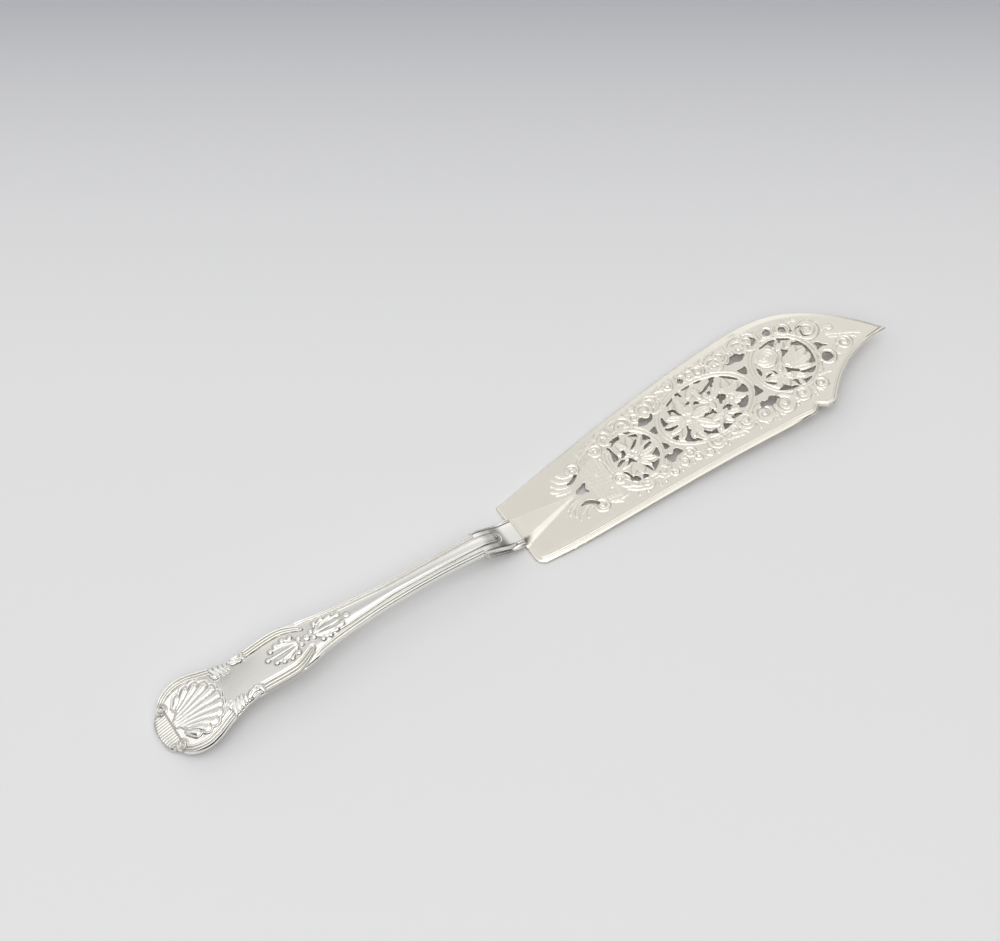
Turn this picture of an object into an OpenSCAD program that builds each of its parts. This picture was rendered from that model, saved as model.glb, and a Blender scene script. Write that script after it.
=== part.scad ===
// Fish server: a broad pierced blade hard-soldered to a die-struck handle, in millimetres.
// X runs from the handle's end to the blade's tip, Y across, and Z up from the table.
// The blade is drawn flat with its heel on X = 0, then tipped up from the heel.

/* [Blade] */
// Length of the blade from the heel to the tip
blade_length = 166; // [150:1:185]
// Width of the heel, where the blade meets the handle
heel_width = 27.4; // [24:0.2:32]
// Reach of the cutting side from the handle's centre line
upper_reach = 27.8; // [25:0.2:32]
// Reach of the straight side from the handle's centre line
lower_reach = 19.9; // [17:0.1:23]
// How far the tip lies to the straight side of the handle's centre line
tip_offset = 4.3; // [0:0.1:8]
// Thickness of the sheet
sheet = 1.2; // [1:0.1:2]
// Thickness left at the outer edge, below the bevel
edge_thickness = 0.5; // [0.3:0.1:0.8]
// Width of the bevel along the straight side
bevel = 2.2; // [1.2:0.1:3]
// Width of the bevel along the hollow front
front_bevel = 1.3; // [0.8:0.1:2]
// Angle at which the blade rises from its heel to its tip
tilt = 2.7; // [1:0.1:5]

/* [Notch] */
// Width of the notch before the tooth
notch_width = 5.2; // [3:0.1:7]
// Depth of the notch
notch_depth = 2.3; // [1:0.1:3.5]
// Length of the tooth from the notch's point to its front corner
tooth_length = 8.2; // [6:0.1:12]

/* [Tongue] */
// Length of the raised tongue on the blade
tongue_length = 27.3; // [20:0.1:32]
// Width of the tongue's foot at the heel
tongue_width = 12.6; // [9:0.1:15]
// Height of the tongue above the sheet, before it sweeps up to the handle
tongue_height = 2.2; // [1:0.1:3]
// How far the tongue's point lies to the cutting side
tongue_lean = 1.8; // [0:0.1:3]

/* [Piercing] */
// Width of the moulded rim round each pierced panel
rim_width = 1.1; // [0.6:0.1:1.6]
// Height of the moulded rims and the chased border above the sheet
rim_height = 0.25; // [0.1:0.05:0.5]
// Width of a saw cut, as a share of the drawn width
cut_share = 1; // [0.7:0.05:1.2]

/* [Handle] */
// Length of the handle from its end to the blade's heel
handle_length = 144; // [130:1:165]
// Greatest width, across the shell end
shell_end_width = 28.4; // [24:0.2:32]
// Width of the waist behind the shell end
waist_width = 18; // [14:0.2:20]
// Width of the second swelling, with the leaf ornament
swell_width = 19; // [15:0.2:22]
// Narrowest width of the stem
stem_width = 8.6; // [7:0.1:11]
// Width of the shoulder block at the blade
shoulder_width = 12.8; // [12:0.1:16]
// Length of the shoulder block
shoulder_length = 16.5; // [12:0.1:20]
// Height of the top of the arch above the table
arch_height = 12.5; // [9:0.1:16]
// Thickness of the stem
stem_thickness = 4.8; // [3.6:0.1:5.4]
// Thickness of the shell end
shell_end_thickness = 3.6; // [2.8:0.1:4.4]
// Height of the handle where it meets the tongue
joint_height = 4.6; // [4.2:0.1:5.4]

/* [Ornament] */
// Number of flutes in the shell
shell_flutes = 11; // [7:2:13]
// Height of the shell's dome
shell_height = 1; // [0.4:0.1:1.4]
// Height of the flutes above their grooves
flute_height = 0.45; // [0.2:0.05:0.6]
// Height of the threads that frame the handle
thread_height = 0.45; // [0.2:0.05:0.6]
// Height of the leaf ornament and its beads
leaf_height = 0.55; // [0.2:0.05:0.8]
// Number of fine ribs that wrap over the handle's end
end_ribs = 13; // [9:2:17]

/* [Hidden] */

SILVER = [0.87, 0.86, 0.83];

// The heel's lower edge and the handle's end are filed flat where the server stands on them
foot = 0.08;

// Small helpers
function mix(a, b, t) = a + (b - a) * t;
function clamp01(t) = max(0, min(1, t));
function ease(t) = let (c = clamp01(t)) c * c * (3 - 2 * c);
function window(s, a, b, soft) = ease((s - a) / soft) * ease((b - s) / soft);
function ridge(distance, half) = let (q = distance / half) q * q < 1 ? 1 - q * q : 0;
function seat(table, s, i = 0) = i >= len(table) - 2 || s < table[i + 1][0] ? i : seat(table, s, i + 1);
function slope(table, i) = let (a = max(0, i - 1), b = min(len(table) - 1, i + 1))
    (table[b][1] - table[a][1]) / (table[b][0] - table[a][0]);
// A smooth curve through a table of [place, value]
function through(table, s) = let (i = seat(table, s), a = table[i], b = table[i + 1], w = b[0] - a[0],
    t = clamp01((s - a[0]) / w), t2 = t * t, t3 = t2 * t)
    (2 * t3 - 3 * t2 + 1) * a[1] + (t3 - 2 * t2 + t) * w * slope(table, i)
    + (3 * t2 - 2 * t3) * b[1] + (t3 - t2) * w * slope(table, i + 1);

// The blade's outline
heel_half = heel_width / 2;
turn_u = 0.69 * blade_length;
notch_u = 0.741 * blade_length;
tooth_u = notch_u + tooth_length;
tooth_round = 1.4;
lower_start = 3;
curve_steps = 14;
// How sharply each curve of the outline bends
upper_bend = 1.5;
nose_bend = 2.5;
front_bend = 2.45;

// The cutting side swells from the heel to its widest place, then the nose falls to the tip
function upper_v(u) = heel_half + (upper_reach - heel_half) * (1 - pow(1 - u / turn_u, upper_bend));
function nose_v(n) = -tip_offset + (upper_reach + tip_offset) * (1 - pow(n, nose_bend));
// The hollow front sweeps from the tip back to the tooth
front_drop = lower_reach - tooth_round - tip_offset;
function front_v(q) = -tip_offset - front_drop * pow(1 - q, front_bend);
// Share of the way from the heel's half width to the straight side's full reach
LOWER_SWELL = [[0, 0.18], [0.05, 0.3], [0.17, 0.44], [0.45, 0.55], [0.7, 0.7], [0.88, 0.9], [1, 1]];
function lower_v(u) = -mix(heel_half, lower_reach, through(LOWER_SWELL, u / notch_u));

upper_side = [for (i = [0:curve_steps]) let (u = turn_u * i / curve_steps) [u, upper_v(u)]];
nose = [for (i = [1:curve_steps]) let (n = i / curve_steps) [mix(turn_u, blade_length, n), nose_v(n)]];
front = [for (i = [1:curve_steps - 1]) let (q = 1 - i / (curve_steps - 1))
    [mix(tooth_u, blade_length, q), front_v(q)]];
tooth = [
    [tooth_u - 0.8, -lower_reach + 0.5],
    [tooth_u - 2, -lower_reach - 0.1],
    [tooth_u - 3.6, -lower_reach - 0.2],
    [notch_u + notch_width / 2, -lower_reach],
    [notch_u, -lower_reach + notch_depth]
];
lower_side = [for (i = [0:curve_steps - 1])
    let (u = mix(notch_u - notch_width / 2, lower_start, i / (curve_steps - 1))) [u, lower_v(u)]];
heel_corner = [[1.4, -heel_half - 0.7], [0.4, -heel_half + 0.3], [0, -heel_half + 1.6]];
blade_outline = concat(upper_side, nose, front, tooth, lower_side, heel_corner);

// The bevel's width at each point of the outline: it widens along the cutting side
heel_bevel = 0.7;
widest_bevel = 3;
function bevel_at(i) = i < len(upper_side) ? mix(heel_bevel, widest_bevel, ease(i / curve_steps))
    : i < len(upper_side) + len(nose) ? mix(widest_bevel, front_bevel, (i - curve_steps) / curve_steps)
    : i < len(blade_outline) - len(lower_side) - len(heel_corner) ? front_bevel
    : mix(front_bevel, bevel, ease((i - len(blade_outline) + len(lower_side) + len(heel_corner)) / 5));
function side_normal(a, b) = let (d = b - a) [-d[1], d[0]] / norm(d);
function outward(i) = let (n = len(blade_outline), p = blade_outline[i],
    before = side_normal(blade_outline[max(0, i - 1)], i == 0 ? blade_outline[1] : p),
    after = side_normal(i == n - 1 ? blade_outline[n - 2] : p, i == n - 1 ? p : blade_outline[i + 1]),
    sum = before + after) sum / (1 + before * after);

// The piercings, drawn on a plate of this size and stretched to fit the blade
drawn_length = 166;
drawn_upper = 27.8;
drawn_lower = 19.9;
function fitted(p) = [p[0] * blade_length / drawn_length,
    p[1] > 0 ? p[1] * upper_reach / drawn_upper : p[1] * lower_reach / drawn_lower];
// Pierced panels: [centre u, centre v, half length, half width]
PANELS = [[54.8, 3.5, 9.2, 10.8], [88, 5.2, 18.8, 12.2], [124.5, 4.5, 11.8, 11.7]];
// Saw cuts along the inside of each panel's rim: [panel, first angle, last angle, width]
RIM_CUTS = [
    [0, 63, 83, 0.8], [0, 92, 133, 0.7],
    [1, 71, 82, 0.8], [1, 87, 100, 0.7], [1, 115, 131, 0.7], [1, 15, 48, 1.1],
    [2, 74, 114, 0.7], [2, 41, 71, 1], [2, -26, 35, 0.9], [2, 158, 180, 1.3]
];
// Curved saw cuts: [from, to, bow to the left, width]
CUTS = [
    [[54, 6], [58.7, 8.9], -0.3, 1], [[58.1, 3.3], [63, 4.7], 0.4, 1.1],
    [[46.1, 2.4], [50.5, 3.6], 0.6, 1.2], [[54.6, -2.2], [55.9, -6.1], 0.4, 1],
    [[82.4, 10.6], [84.6, 11.3], -0.4, 1], [[92.3, 9.1], [93.3, 10.7], 0, 0.9],
    [[114.2, 2.9], [117.8, 3.4], 0.1, 0.9], [[118.5, 4.6], [118.8, 1.6], 0.1, 0.9],
    [[113, 2.2], [116.4, -1.4], -0.5, 1.2], [[137.1, 14.3], [140.3, 14], 0.6, 0.8],
    [[138.8, 12.9], [139.9, 9.5], -1.7, 1], [[134.7, 15.2], [136.1, 14.7], 0, 0.9]
];
// Wider openings between the leaves and scrolls, drawn by their corners
OPENINGS = [
    [[26, 7.2], [27.6, 7.4], [29, 7.9], [30.4, 8.7], [31.2, 9.3], [32.1, 8.7], [31.3, 7.9], [30, 7.1],
        [28.6, 6.4], [27.2, 6.4]],
    [[27, 2.1], [28.3, 3.4], [30.2, 3.6], [31.8, 4.5], [32.6, 4.2], [31.7, 3], [31.2, 2], [31.9, 0.4],
        [31.2, 0], [30.4, 0.8], [29, 0.5], [27.8, 1.1]],
    [[25.4, -3.5], [26.8, -2.6], [28.6, -2.4], [30.4, -3.2], [31.7, -4.7], [32.5, -6.1], [31.3, -6.2],
        [30.2, -5.3], [28.6, -4.2], [27, -3.5]],
    [[49.2, 13.1], [51, 13.5], [54, 13.6], [53.8, 12.6], [53.3, 11.9], [52.4, 12.2], [51.4, 11.9],
        [50.4, 12.4]],
    [[56.5, 11.7], [58.5, 11.3], [60.1, 10.7], [59.6, 9.1], [58.8, 9.8], [57.7, 10.6]],
    [[61.5, 9.4], [62.2, 8.7], [63.3, 6], [62.6, 5.7], [61.5, 6.5], [60.1, 6.9], [61, 8.2]],
    [[59.6, 0.2], [61.6, 1], [63, 2.1], [62.7, 0.2], [62.1, -1.3], [61.2, -2.4], [60.5, -1.1]],
    [[57.3, -2.5], [58.3, -2.9], [59.8, -3], [60.9, -2.4], [60.2, -3.8], [59, -4.6], [57.5, -5.5],
        [56.4, -6.1], [57, -4.6]],
    [[51.8, -5.1], [52.9, -5.3], [53.6, -6.2], [53.2, -7.1], [52, -6.9], [50.5, -6.7], [51.6, -6.1]],
    [[46.8, -0.1], [47.7, -0.9], [48.2, -2.4], [48.4, -4], [49.7, -4], [50.3, -5.3], [50.2, -6.7],
        [48.8, -6.4], [46.7, -4.9], [47.4, -3.8], [47.2, -2.3], [46.5, -1]],
    [[49, 1.2], [50.6, 2.1], [51.6, 3.4], [52.4, 3.2], [53.5, 0.4], [52.6, 0.7], [51.7, 1.8],
        [50.8, 1.5]],
    [[50.8, 7.7], [52, 7.6], [52, 6.5], [51.5, 4.9], [49.2, 5], [50.3, 5.8]],
    [[47.2, 11.9], [48.1, 11.3], [48.4, 9], [48.7, 6], [48.2, 4.9], [46.1, 5.1], [46.7, 6.8],
        [47.4, 8.4], [47.4, 10]],
    [[62.4, 12.8], [63.4, 13.6], [64.2, 15.3], [65.7, 15.4], [66.3, 14.2], [67.3, 13.7], [68.5, 13.7],
        [69.1, 14.7], [70, 14.9], [69.4, 13.3], [68.4, 12.2], [66.5, 11.9], [65, 11.6]],
    [[64.4, 8.6], [66, 9.1], [67.8, 9.7], [67.3, 8.1], [66.9, 6.8], [66.3, 5.9], [65.6, 6.8], [65, 7.9]],
    [[65.2, 1.4], [65.9, 2], [66.8, 0.8], [67.3, -0.9], [65.5, -1.2], [64.6, -0.9], [65, 0.4]],
    [[62.5, -3.8], [63.6, -3], [64.7, -3.3], [65.4, -4.1], [66.5, -3.9], [67.2, -2.8], [68.5, -2.6],
        [69.5, -3.9], [70, -5.2], [68.4, -5.6], [66.6, -5.8], [65, -7.1], [63.9, -7.1], [63.1, -6.1],
        [63, -4.9]],
    [[72, 11.4], [71, 10.4], [70.2, 8.7], [69.9, 7], [71.2, 7.2], [72.6, 7.4], [71.9, 8.8]],
    [[69.8, 6.5], [70.8, 5.8], [72.2, 5.3], [75.4, 4.9], [74.2, 4.1], [72.4, 4.1], [70.9, 4.3],
        [69.9, 5.2]],
    [[69.5, 1.5], [71, 1.4], [72.9, 1.5], [72.2, 0.4], [71.3, 0], [71.6, -1.2], [70.3, 0]],
    [[77.9, 3], [76.9, 2.2], [76.3, 1], [75.6, -0.2], [74.4, -1.2], [73, -1.9], [73.3, -2.8],
        [74.6, -3.8], [75.6, -4.5], [76.8, -4.8], [77.7, -5.4], [79.1, -5.9], [78.2, -4.9],
        [77.8, -3.7], [76.7, -3.5], [75.9, -3.2], [76.2, -1], [76.9, 0], [78, 0.4], [77.2, 1.2]],
    [[81.6, 16.4], [83.5, 16.7], [83.5, 15.2], [84, 14.1], [82.8, 14.4], [82.6, 15.4], [81.6, 15.7]],
    [[75.2, 12.3], [76, 12], [77, 11.6], [78, 11.3], [77.9, 9.5], [78.7, 7.5], [77.3, 8.5],
        [76.9, 10.5], [75.9, 11], [75, 9.4], [75.1, 11]],
    [[85.9, 9.9], [86.8, 9.7], [87.4, 8.7], [86.6, 7.9], [85.9, 8.6], [84.7, 8.8]],
    [[89.1, 12.1], [90.1, 11.8], [91.6, 12], [93.2, 12.9], [95.3, 13.5], [96.1, 14], [96.2, 15.2],
        [98, 14.9], [99.2, 14.3], [97.6, 13.9], [97.3, 12.7], [96.2, 12.7], [95.5, 11.1], [94.7, 11.5],
        [95, 12.7], [93.5, 11.8], [91.6, 11.1], [90, 11]],
    [[101.2, 4.6], [103, 5.3], [105.2, 5.8], [105.3, 6.8], [106, 5.4], [106, 3.5], [105.3, 1.9],
        [103.8, 2.6], [102.6, 3.5]],
    [[98.1, -0.4], [99, 0.1], [100, -0.4], [100.9, 0.5], [103, 0.6], [104.4, 1.2], [103.6, -0.4],
        [101.8, -2.2], [99.9, -3.1], [98.4, -2], [98.9, -1.1]],
    [[92.8, -3.9], [94.2, -3.5], [95.1, -2.9], [97.7, -4.1], [97, -4.8], [95.5, -4.7], [94, -4.7]],
    [[88.8, -4], [89.8, -4.3], [92.1, -6], [90.6, -6.5], [87.7, -6.7], [88.6, -5.6]],
    [[80.8, -2.7], [82, -2.5], [82.5, -3.5], [83.4, -4.4], [84.6, -4.5], [86.1, -3.9], [85.5, -5.2],
        [85.3, -6.8], [83.9, -5.9], [82.4, -5], [81.2, -4]],
    [[84.6, 2.2], [86.6, 3.3], [88, 2.5], [89, 3], [89.8, 3.5], [89.8, 1.9], [90.5, 1.2], [89.5, 0.9],
        [88.5, 1.9], [86.5, 2]],
    [[92.4, 0.9], [93.6, 1.8], [95.4, 2.1], [96.5, 1.1], [96.9, 0.1], [95.6, 0.3], [95, -0.7],
        [94.1, -0.3], [94.7, 0.8]],
    [[93.7, 6.5], [95.6, 7.1], [96.7, 6.8], [97.5, 5.8], [96.3, 4], [94.7, 4.3], [93.8, 2.8],
        [93.3, 4], [94.2, 5.3]],
    [[107.3, 12.2], [108.5, 11.7], [110.4, 11.8], [111.4, 12.1], [111, 10.5], [110.1, 9], [109.5, 8.4],
        [108.4, 9.3], [107.8, 10.4]],
    [[108.5, 2.9], [109.4, 2.5], [109.7, 0.8], [110.3, -1.3], [107, -1.4], [105.8, -1.1], [107.2, 0.1]],
    [[104.6, -6.9], [105.2, -5.3], [106.7, -4.2], [107.8, -5.1], [109.2, -5], [110.2, -4.1],
        [111.7, -4.5], [113, -6.2], [113.3, -7.3], [112.2, -6.9], [111.1, -7.4], [110.5, -8.2],
        [109.2, -8], [107.8, -8.2], [107.1, -7], [106, -6.8]],
    [[105.4, 17.1], [106.2, 16.4], [107.1, 16.4], [108.1, 17.2], [108.8, 18.5], [110, 18.3],
        [111.7, 18.5], [112.4, 17.3], [113.5, 16.8], [114.9, 16.8], [113.8, 15.8], [112.2, 14.7],
        [110.5, 14.5], [109.5, 15.4], [107.5, 15.4], [106, 15.7]],
    [[123.9, 15.4], [125, 15.8], [128, 15.2], [127, 14.2], [126, 13.7], [125.2, 12.2], [124.6, 13.7]],
    [[128.2, 15.4], [130, 14.3], [129.5, 13.5], [128.9, 13.1], [128, 12.3], [127.9, 13.2],
        [128.5, 14.2]],
    [[131, 10.1], [132.8, 10.3], [134, 9.9], [135, 7.2], [133.7, 7.6], [132.6, 8.6]],
    [[131.7, -0.4], [133, 0.1], [135, 1.3], [135, 0], [133.9, -1.9], [132.8, -1.4]],
    [[134, 4.1], [135.6, 4.6], [135.6, 2.7]],
    [[126.8, -1.7], [128.5, -2.5], [130.5, -2.9], [133.5, -3.1], [132, -4.3], [130.6, -5],
        [129.2, -4.4], [128.2, -3.4], [126.8, -2.7]],
    [[123, 3.3], [124.1, 2.3], [125.4, 0.4], [127.3, -0.9], [126.6, -1.8], [125.3, -1], [124.2, 0.1],
        [122.3, 0.1], [123.2, 1.5]],
    [[115, -3.9], [117.3, -3.8], [118.1, -3], [118.9, -4.4], [120.2, -5.5], [122.1, -5.9],
        [122.3, -7.2], [121, -7], [119.2, -6.6], [117.3, -5.7], [115.8, -4.7]],
    [[121.4, -3.2], [122.6, -3.5], [123.8, -3.7], [123.4, -5], [123.2, -7.5], [122.7, -6.5],
        [122.4, -4.3]],
    [[125.1, -4.8], [125.9, -5.4], [127.5, -5.8], [129.5, -5.8], [128.4, -6.7], [127, -7.1],
        [124.7, -7.5], [125.8, -6.3]],
    [[126.9, 10.4], [129.2, 8.3], [128.2, 7.8], [126.8, 7.4], [125.1, 6.9], [125.6, 7.8], [126.5, 8.8]],
    [[120.1, 21.8], [121.5, 20.9], [122, 19.6], [121.1, 18.4], [119.5, 17.6], [118.4, 17.9],
        [119.4, 18.8], [120.2, 20]],
    [[125.4, 20], [127, 20.7], [128.2, 20.7], [128.6, 19.4], [128, 18], [127, 17.8], [125.8, 18.6]],
    [[131.8, 18.2], [133, 18.7], [134.2, 17.6], [134, 16], [133, 15.6], [132.1, 16.3]],
    [[138.5, 5.3], [140.1, 5.3], [140.8, 4.5], [141.2, 3.4], [143, 2], [142.2, 1.7], [141.1, 2.4],
        [139.8, 2.4], [137.9, 2], [139, 3.5]],
    [[138.7, -0.1], [140.3, -0.1], [141.5, -1.5], [141.5, -3.3], [140.3, -4.2], [138.4, -4.1],
        [137.1, -3.3], [137.3, -1.7]],
    [[86.1, 21], [87.3, 21.5], [88.3, 20.4], [87.9, 19.2], [86.8, 18.9], [85.9, 19.9]]
];
// Chased scrolls of the border, in low relief: [centre u, centre v, radius, first angle, last angle, width]
SCROLLS = [
    [31.5, 11, 2.2, 10, 250, 0.9], [32.4, -7.3, 2.5, 120, 400, 0.9], [44, -1.6, 2.1, 60, 320, 0.9],
    [43.2, 13, 2.2, 40, 300, 0.9], [62, -10.8, 1.5, -120, 200, 0.8], [67.9, 16.4, 2.8, 60, 290, 1.1],
    [71.3, 18.6, 3.6, -50, 100, 1], [82.6, 21.2, 1.8, -60, 200, 0.8], [94, 20.7, 3.4, -80, 250, 1.1],
    [102, 18.9, 3.5, 80, 320, 1.1], [105.4, 20.6, 3, -110, 110, 1], [114, 19.9, 3.6, 70, 300, 1.1],
    [118.6, 20, 4.3, -50, 110, 1], [127, 19.3, 2.6, -40, 200, 0.8], [133, 17.1, 2.6, -70, 190, 0.8],
    [140.6, 11.8, 3.9, -150, 130, 1.1], [148.6, -0.6, 2.8, -60, 260, 0.9], [139.3, -2.3, 3.3, -70, 190, 0.8],
    [73.4, -9.9, 1.8, -30, 240, 0.8], [78, -10.9, 1.6, 150, 420, 0.8], [82.9, -9, 3, 150, 350, 0.9],
    [96.8, -8, 3.4, 170, 400, 1.1], [104.3, -9.2, 3.7, 70, 340, 1.1], [113.3, -9.9, 3.9, 120, 400, 1.1],
    [121.4, -10.2, 3.1, 170, 380, 1], [130, -10.4, 2.6, 140, 400, 0.9]
];
// Leaves and ribbons of the border, in low relief: [from, to, bow to the left, width]
LEAVES = [
    [[33.6, 11.3], [47.6, 18], 0.8, 1.5], [[19.5, 8], [26, 5.2], -0.8, 1.1],
    [[22.6, 12], [30, 9.8], -0.9, 1.2], [[20, -4.6], [26.5, -1.2], 0.7, 1.1],
    [[22, -8.3], [29.8, -5.4], 0.8, 1.2], [[41.9, 8.6], [41.9, 0.6], 0, 0.9],
    [[35.3, -7.5], [43.5, -8.6], -0.8, 1], [[43.6, -6.6], [56.5, -11.2], -1.4, 1.2],
    [[56.6, -11.2], [63.9, -5.6], -0.9, 1.2], [[51.5, 17], [61, 18.6], 1.1, 1.3],
    [[75, 21.5], [79.6, 19.6], 0.7, 1.2], [[84.5, -11.8], [91, -8.6], 0.5, 1.4],
    [[66.5, -9], [71, -7], 0.6, 1], [[99.3, -13.6], [100.5, -10.6], 0, 1],
    [[107.3, -14.5], [108.6, -10.6], 0, 1.1], [[125.6, -13.8], [126.2, -10.9], 0, 1.2],
    [[131.2, -7.4], [136.6, -8.6], 0.6, 1.2], [[110.6, 20], [112.2, 23.6], 0, 1.1],
    [[98, 22.6], [100.4, 23.8], -0.5, 1], [[136.6, 18.4], [139.4, 17.6], 0.5, 1.1],
    [[145, 6], [150.6, 2.2], 0.6, 1.1], [[150.5, 2.8], [156, -0.6], 0.5, 1.2],
    [[144.8, 8.6], [149.6, 7.4], 0.7, 1.3]
];
// Flowers inside the panels, as low bosses: [centre u, centre v, radius]
FLOWERS = [
    [54.2, 2.6, 1.3], [79.7, 4.9, 2], [91.8, 7.6, 1.4], [98.6, 3.6, 1.3], [119.9, 10.4, 4.6],
    [119.9, 1, 1.3]
];

cut_steps = 5;
// A bowed band, widest in the middle and pointed at both ends
function blade_of_grass(a, b, bow, width) = let (d = b - a, left = [-d[1], d[0]] / norm(d))
    concat([for (i = [0:cut_steps]) let (t = i / cut_steps)
            fitted(a + d * t + left * (bow * 4 * t * (1 - t) + width / 2 * sqrt(sin(180 * t))))],
        [for (i = [1:cut_steps - 1]) let (t = 1 - i / cut_steps)
            fitted(a + d * t + left * (bow * 4 * t * (1 - t) - width / 2 * sqrt(sin(180 * t))))]);
// A scroll: a band along an arc, broad at its head and thin at its tail
scroll_steps = 11;
function scroll(centre, r, from, to, width) =
    concat([for (i = [0:scroll_steps]) let (t = i / scroll_steps, a = mix(from, to, t))
            fitted(centre + (r + width / 2 * (1 - 0.6 * t)) * [cos(a), sin(a)])],
        [for (i = [scroll_steps:-1:0]) let (t = i / scroll_steps, a = mix(from, to, t))
            fitted(centre + (r - width / 2 * (1 - 0.6 * t)) * [cos(a), sin(a)])]);
// Corners cut once, so that a drawn opening reads as filed smooth
corner_share = 0.22;
function filed(points) = [for (i = [0:len(points) - 1]) let (a = points[i], b = points[(i + 1) % len(points)])
    each [mix(a, b, corner_share), mix(b, a, corner_share)]];
function on_panel(panel, inset, angle) = fitted([panel[0] + (panel[2] - inset) * cos(angle),
    panel[1] + (panel[3] - inset) * sin(angle)]);
// A saw cut along the inside of a panel's rim
function rim_cut(cut) = let (panel = PANELS[cut[0]], n = 2 * cut_steps)
    concat([for (i = [0:n]) on_panel(panel, rim_width / 2, mix(cut[1], cut[2], i / n))],
        [for (i = [1:n - 1])
            let (t = 1 - i / n, inset = rim_width / 2 + cut[3] * cut_share * sqrt(sin(180 * t)))
            on_panel(panel, inset, mix(cut[1], cut[2], t))]);

// The tongue's section at a share t of its length
tongue_steps = 12;
tongue_flank = 1.1;
tongue_sink = 0.3;
sweep_length = 5;
tongue_rise = joint_height - sheet - tongue_height - 0.2;
function tongue_section(t) = let (u = tongue_length * t, centre = tongue_lean * t,
    half = tongue_width / 2 * (1 - t) + 0.1, top = half - min(half * 0.5, tongue_flank * (1 - 0.6 * t)),
    height = tongue_height * pow(1 - t, 0.8) + tongue_rise * pow(clamp01(1 - u / sweep_length), 2) + 0.02)
    [[u, centre + half, sheet - tongue_sink], [u, centre + half, sheet],
        [u, centre + top, sheet + height], [u, centre - top, sheet + height],
        [u, centre - half, sheet], [u, centre - half, sheet - tongue_sink]];

// The handle: s runs from its end to the heel
shell_half = shell_end_width / 2;
waist_half = waist_width / 2;
swell_half = swell_width / 2;
stem_half = stem_width / 2;
shoulder_s = handle_length - shoulder_length;
stem_s = shoulder_s - 19;
HALF_WIDTH = [
    [0, 0.22 * shell_half], [0.5, 0.37 * shell_half], [1.5, 0.49 * shell_half], [3.2, 0.6 * shell_half],
    [5.2, 0.79 * shell_half], [8, 0.925 * shell_half], [12.5, shell_half], [17, 0.955 * shell_half],
    [21, 0.85 * shell_half], [26, mix(waist_half, shell_half, 0.26)], [31, waist_half], [37, waist_half],
    [46, swell_half], [52, 0.98 * swell_half], [57, 0.885 * swell_half], [62, 0.77 * swell_half],
    [68, 0.67 * swell_half], [76, mix(stem_half, swell_half, 0.24)], [88, mix(stem_half, swell_half, 0.07)],
    [stem_s, stem_half], [shoulder_s, stem_half + 0.4]
];
shoulder_draft = 0.2;
function half_width(s) = s > shoulder_s
    ? shoulder_width / 2 - shoulder_draft * clamp01((handle_length - s) / shoulder_length)
    : through(HALF_WIDTH, s);
TOP = [
    [0, 0.15 * arch_height], [5, 0.3 * arch_height], [13, 0.5 * arch_height], [24, 0.69 * arch_height],
    [34, 0.81 * arch_height], [46, 0.92 * arch_height], [60, 0.98 * arch_height], [82, arch_height],
    [stem_s, 0.975 * arch_height], [shoulder_s - 6, 0.92 * arch_height], [shoulder_s + 1, 0.85 * arch_height],
    [shoulder_s + 6, mix(joint_height, arch_height, 0.5)],
    [shoulder_s + 11, mix(joint_height, arch_height, 0.17)],
    [handle_length, joint_height]
];
THICKNESS = [
    [0, 0.15 * arch_height], [5, 0.86 * shell_end_thickness], [15, shell_end_thickness],
    [34, 0.95 * stem_thickness], [60, stem_thickness], [stem_s, stem_thickness],
    [shoulder_s, stem_thickness + 0.5], [handle_length, joint_height]
];
edge_share = 0.42;

// Threads: double round the shell end and the second swelling, single beads along the stem
shell_frame_end = 24.5;
swell_frame_start = 36;
swell_frame_end = 51.5;
function threads(s, d) = thread_height * (
    window(s, 3.5, shell_frame_end, 1.5) * (ridge(d - 1.2, 0.85) + 0.8 * ridge(d - 2.8, 0.6))
    + window(s, swell_frame_start, swell_frame_end, 1)
        * (ridge(d - 1.2, 0.8) + 0.8 * ridge(d - 2.6, 0.6))
    + ease((s - 58) / 6) * (0.7 * ridge(d - 0.45, 0.45)));
// The stem's raised middle panel, between two lines that close in from the second swelling
function panel_half(s) = mix(0.42 * stem_half, 0.8 * stem_half, clamp01((96 - s) / 20));
function stem_panel(s, y) = 0.35 * thread_height * ease((s - 72) / 8)
    * (ridge(y, panel_half(s)) + ridge(abs(y) - panel_half(s) - 0.75, 0.7)) * ease((shoulder_s + 6 - s) / 3);

// The shoulder's ledges lie below the stem that runs on between them
ledge_drop = 1.3;
function ledge(s, y) = -ledge_drop * ease((s - shoulder_s + 0.2) / 0.3) * ease((handle_length - 2 - s) / 4)
    * ease((abs(y) - stem_half - 0.35) / 0.4);
function relief(s, y, d) = ledge(s, y) + threads(s, d) + stem_panel(s, y);

// Across the top the points lie close together over the threads at each edge
EDGE_PLACES = [0, 0.3, 0.75, 1.2, 1.65, 2.05, 2.45, 2.85, 3.3];
middle_count = 7;
function places(half) = let (k = min(1, half / 8), last = EDGE_PLACES[len(EDGE_PLACES) - 1] * k)
    concat([for (d = EDGE_PLACES) half - d * k],
        [for (j = [1:middle_count - 1]) mix(half - last, last - half, j / middle_count)],
        [for (j = [len(EDGE_PLACES) - 1:-1:0]) EDGE_PLACES[j] * k - half]);
under_count = 7;
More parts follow.
